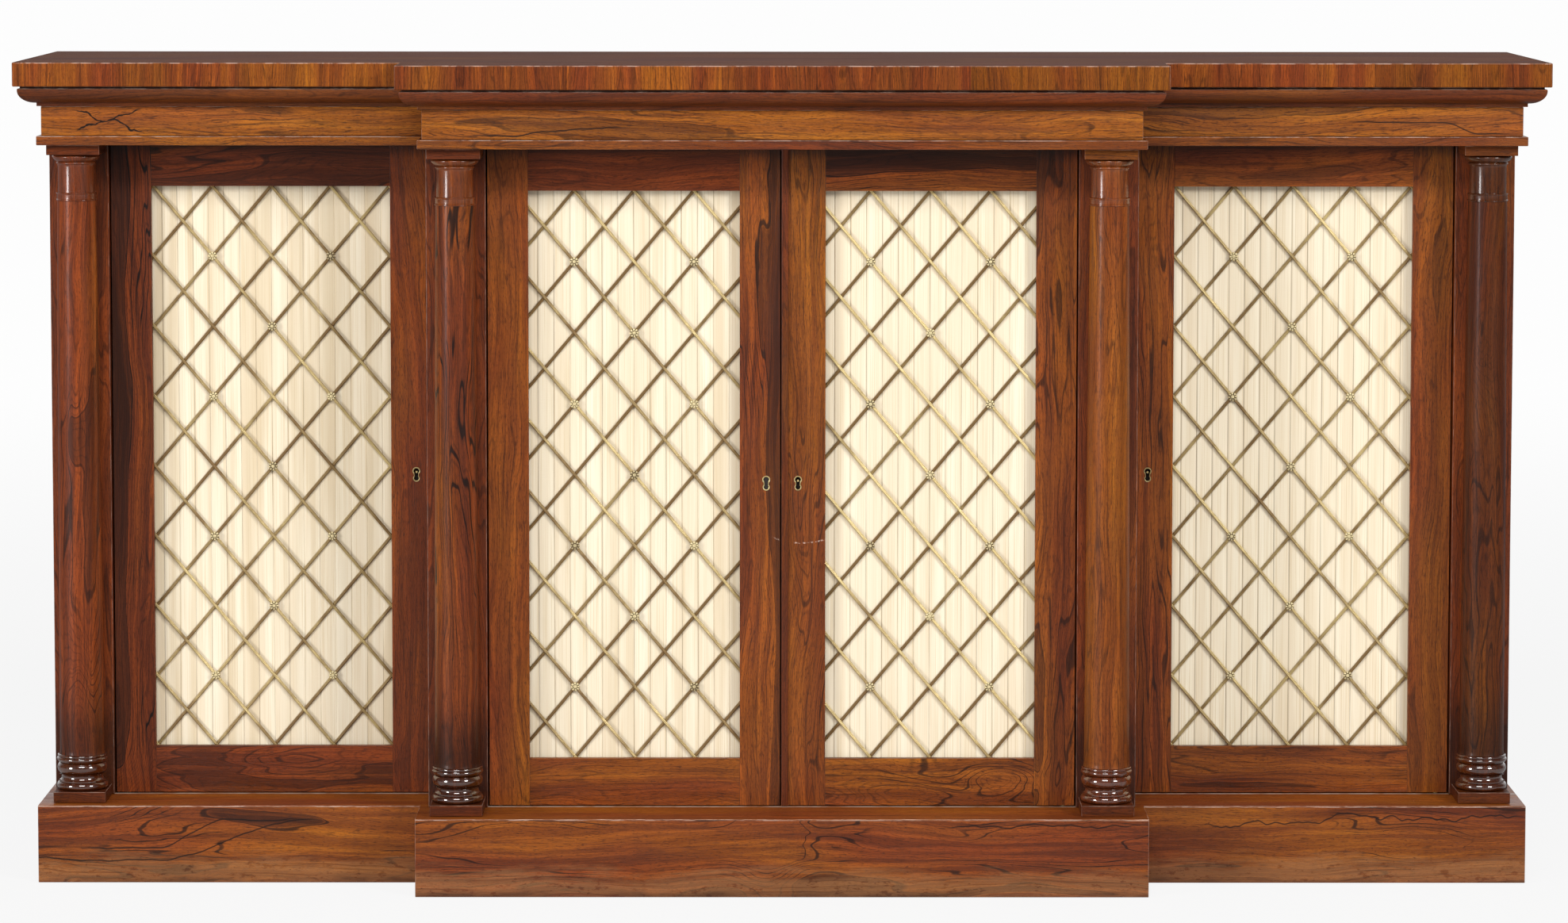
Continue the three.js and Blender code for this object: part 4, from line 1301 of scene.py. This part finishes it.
# Keyholes
LOCK_DEPTH = 7.0
DUMMY_DEPTH = 0.9
KEY_PIN = [(1.25, 0.0), (1.25, 5.0), (1.0, 5.4)]
KEY_PIN_STEPS = 20
KEY_PIN_RISE = 2.6


def make_escutcheon(name, door):
    """A keyhole's raised brass ring, with the lock's plate and pin behind it, or a shallow plate."""
    low, high = corners(f"{name}_escutcheon")
    front, back = low.y, high.y
    outer, inner, crown = (keyhole_outline(name, grow) for grow in (0.0, -1.15, -0.55))
    loops = [(outer, front + 0.15), (crown, front - 0.25), (inner, front + 0.1), (inner, back), (outer, back)]
    points = [(a, depth, b) for outline, depth in loops for a, b in outline]
    faces = skin(len(loops), len(outer), closed=True)
    ring = bare_object(f"{name}_keyhole_ring", points, faces)
    paint_faces(ring, [0.35] * len(faces))
    finish_piece(ring, BRASS, name, f"{name}_escutcheon", smooth=45)
    # The plate is near black: painted shade for the dark inside of the lock
    plate = front + (DUMMY_DEPTH if door["dummy"] else LOCK_DEPTH)
    plug = prism(f"{name}_keyhole_plate", inner, plate, plate + 1.2, "y")
    finish_piece(plug, KEYHOLE_SHADE, name)
    if not door["dummy"]:
        make_key_pin(name, plate)


def make_key_pin(name, back):
    """The pin in the middle of the lock that a key's barrel slides over."""
    x, _, z = middle(f"{name}_escutcheon")
    steps, z = KEY_PIN_STEPS, z + KEY_PIN_RISE
    points = [(a, back - reach, b) for radius, reach in KEY_PIN for a, b in circle(x, z, radius, steps)]
    faces = [*skin(len(KEY_PIN), steps), lid(0, steps), lid(len(KEY_PIN) - 1, steps)]
    piece = bare_object(f"{name}_key_pin", points, faces)
    paint_faces(piece, [0.3] * len(faces))
    finish_piece(piece, BRASS, name)


def make_meeting_bead():
    low, high = corners("meeting_bead")
    back, shoulder = high.y + 0.25, low.y + 1.0
    outline = [(low.x, back), (low.x, shoulder), *arc((low.x + 1.2, shoulder), (1.2, 0.9), 180, 270, 4)]
    outline += [*arc((high.x - 1.2, shoulder), (1.2, 0.9), 270, 360, 4), (high.x, back)]
    bead = prism("meeting_bead_moulded", outline, low.z, high.z, "z")
    map_grain(bead, "z")
    paint_tone(bead, (0.26, 0.1, 0.3))
    finish_piece(bead, WOOD, "centre_right_door", "meeting_bead", smooth=24)


# Carcass boards, and the parts that keep their solids
PLANKS = 7
MORTISE_DEPTH = 9.5
MORTISE_GAP = 0.4
LIPPING_GAP = 0.05
PLANK_GAP = 0.01


def dress_side(label, tone):
    """One outer side, and the partition on that side in two parts: a lipping and a plain core."""
    node = f"side_panel_{label}"
    board(f"{node}_veneered", *corners(node), "z", (tone, 0.25, 0.6), node, WOOD, arris=0.5, wear_and_highlight=0.2)
    node = f"partition_{label}"
    low, high = corners(node)
    seam = corners("left_door_frame")[1].y
    door_side = low.x if label == "left" else high.x
    bolt_low, bolt_high = roomy_box(f"{label}_door_lock_bolt", MORTISE_GAP)
    for part, front, back, material in (
        ("lipping", low.y, seam, DOOR_WOOD), ("core", seam + LIPPING_GAP, high.y, PINE_UPRIGHT),
    ):
        mortise = block_mesh("mortise_cutter", (door_side - MORTISE_DEPTH, bolt_low.y, bolt_low.z),
                             (door_side + MORTISE_DEPTH, bolt_high.y, bolt_high.z))
        board(f"{node}_{part}", (low.x, front, low.z), (high.x, back, high.z), "z", (0.37, 0.1, 0.5), node,
              material, slot="carcass_wood", arris=0.4, wear_and_highlight=0.0, cutters=[mortise])


def dress_back():
    low, high = corners("backboard")
    width = (high.x - low.x) / PLANKS
    for k in range(PLANKS):
        left = low.x + k * width
        board(f"back_plank_{k}", (left + PLANK_GAP, low.y, low.z), (left + width - PLANK_GAP, high.y, high.z),
              "z", (0.5, 0.0, 0.0), "backboard", PINE_UPRIGHT, slot="carcass_wood", arris=1.2, wear_and_highlight=0.0)


def repaint_solids():
    pivots = [f"{name}_pivot_{end}" for name in DOORS for end in ("top", "bottom")]
    bolts = [f"{name}_{'flush' if door['dummy'] else 'lock'}_bolt" for name, door in DOORS.items()]
    for nodes, material in (
        (("carcass_top", "shelf_left", "shelf_centre", "shelf_right"), PINE_ACROSS), (pivots + bolts, BRASS),
    ):
        for node in nodes:
            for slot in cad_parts[node].material_slots:
                slot.material = material


# Camera, lights and floor
LAMP_AIM = Vector((0.0, -0.1, 0.5))
# Each lamp: its place, its size in metres, and its power
LAMPS = {
    "left_softbox": ((-5.6, -4.2, 1.35), (1.4, 2.4), 255.0),
    "right_softbox": ((4.2, -4.6, 3.0), (1.6, 1.6), 225.0),
    "front_strip": ((-0.5, -4.8, 4.1), (2.4, 1.0), 150.0),
}
FLOOR_HALF = 400000.0
FLOOR_GREY = (0.55, 0.55, 0.55, 1.0)
WHITE = (1.0, 1.0, 1.0, 1.0)


def make_camera():
    data = bpy.data.cameras.new("camera")
    data.sensor_width = SENSOR
    data.sensor_fit = "HORIZONTAL"
    data.lens = FOCAL_PIXELS / PHOTO_WIDTH * SENSOR
    data.shift_y = -(PHOTO_HEIGHT / 2 - AXIS_ROW) / PHOTO_WIDTH
    data.clip_end = 1000.0
    camera = linked_object("camera", data)
    turn = Matrix.Rotation(CAMERA_YAW, 4, "Z") @ Matrix.Rotation(math.pi / 2 - CAMERA_PITCH, 4, "X")
    turn = turn @ Matrix.Rotation(CAMERA_ROLL, 4, "Z")
    place = Vector((CAMERA_X, SIDE_FRONT - CAMERA_BACK, CAMERA_HEIGHT)) * MM
    camera.matrix_world = Matrix.Translation(place) @ turn
    bpy.context.scene.camera = camera


def make_lamp(name, place, size, power):
    data = bpy.data.lights.new(name, "AREA")
    data.shape = "RECTANGLE"
    data.size, data.size_y = size
    data.energy = power
    lamp = linked_object(name, data)
    lamp.location = place
    lamp.rotation_mode = "QUATERNION"
    lamp.rotation_quaternion = (LAMP_AIM - Vector(place)).to_track_quat("-Z", "Y")


def make_world():
    """A pale studio: white for the camera, and dimmer towards the front in reflections."""
    g = Graph(bpy.data.worlds.new("studio"))
    bpy.context.scene.world = g.owner
    toward_back = g.split(g.add("TexCoord", output="Generated"))[1]
    around = g.step(toward_back, 0.3, 0.95, 0.05, 1.0)
    kinds = ("Camera", "Diffuse", "Glossy", "Transmission")
    seen, soft, shiny, through = (g.add("LightPath", output=f"Is {kind} Ray") for kind in kinds)
    strength = g.largest(g.largest(seen, g.largest(shiny, through) * around), soft * 0.28)
    g.node("OutputWorld", {0: g.add("Background", {0: WHITE, 1: strength})})


def make_floor():
    places = [(x * FLOOR_HALF, y * FLOOR_HALF, 0) for x, y in ((-1, -1), (1, -1), (1, 1), (-1, 1))]
    floor = bare_object("floor", places, [(0, 1, 2, 3)])
    g = Graph(bpy.data.materials.new("pale_floor"))
    away = g.add("VectorMath", {0: g.place()}, output="Value", operation="LENGTH")
    share = g.add("LightPath", output="Is Camera Ray") * g.step(away, 1.2, 6.0, 0.88, 0.98)
    matt = g.add("BsdfDiffuse", {0: FLOOR_GREY})
    white = g.add("Emission", {0: WHITE, 1: 1.0})
    g.node("OutputMaterial", {0: g.add("MixShader", {0: share, 1: matt, 2: white})})
    floor.data.materials.append(g.owner)


make_camera()
for name, settings in LAMPS.items():
    make_lamp(name, *settings)
make_world()
make_floor()
bpy.context.scene.view_settings.view_transform = "Standard"

make_top()
make_entablature()
make_plinth()
for label, settings in COLUMNS.items():
    make_column(label, *settings)
for name, door in DOORS.items():
    places = door_places(name)
    make_frame(name, door, places)
    make_trellis(name, door, places)
    make_silk(name, door)
    make_escutcheon(name, door)
make_meeting_bead()
for label, tone in (("left", 0.36), ("right", 0.34)):
    dress_side(label, tone)
dress_back()
repaint_solids()
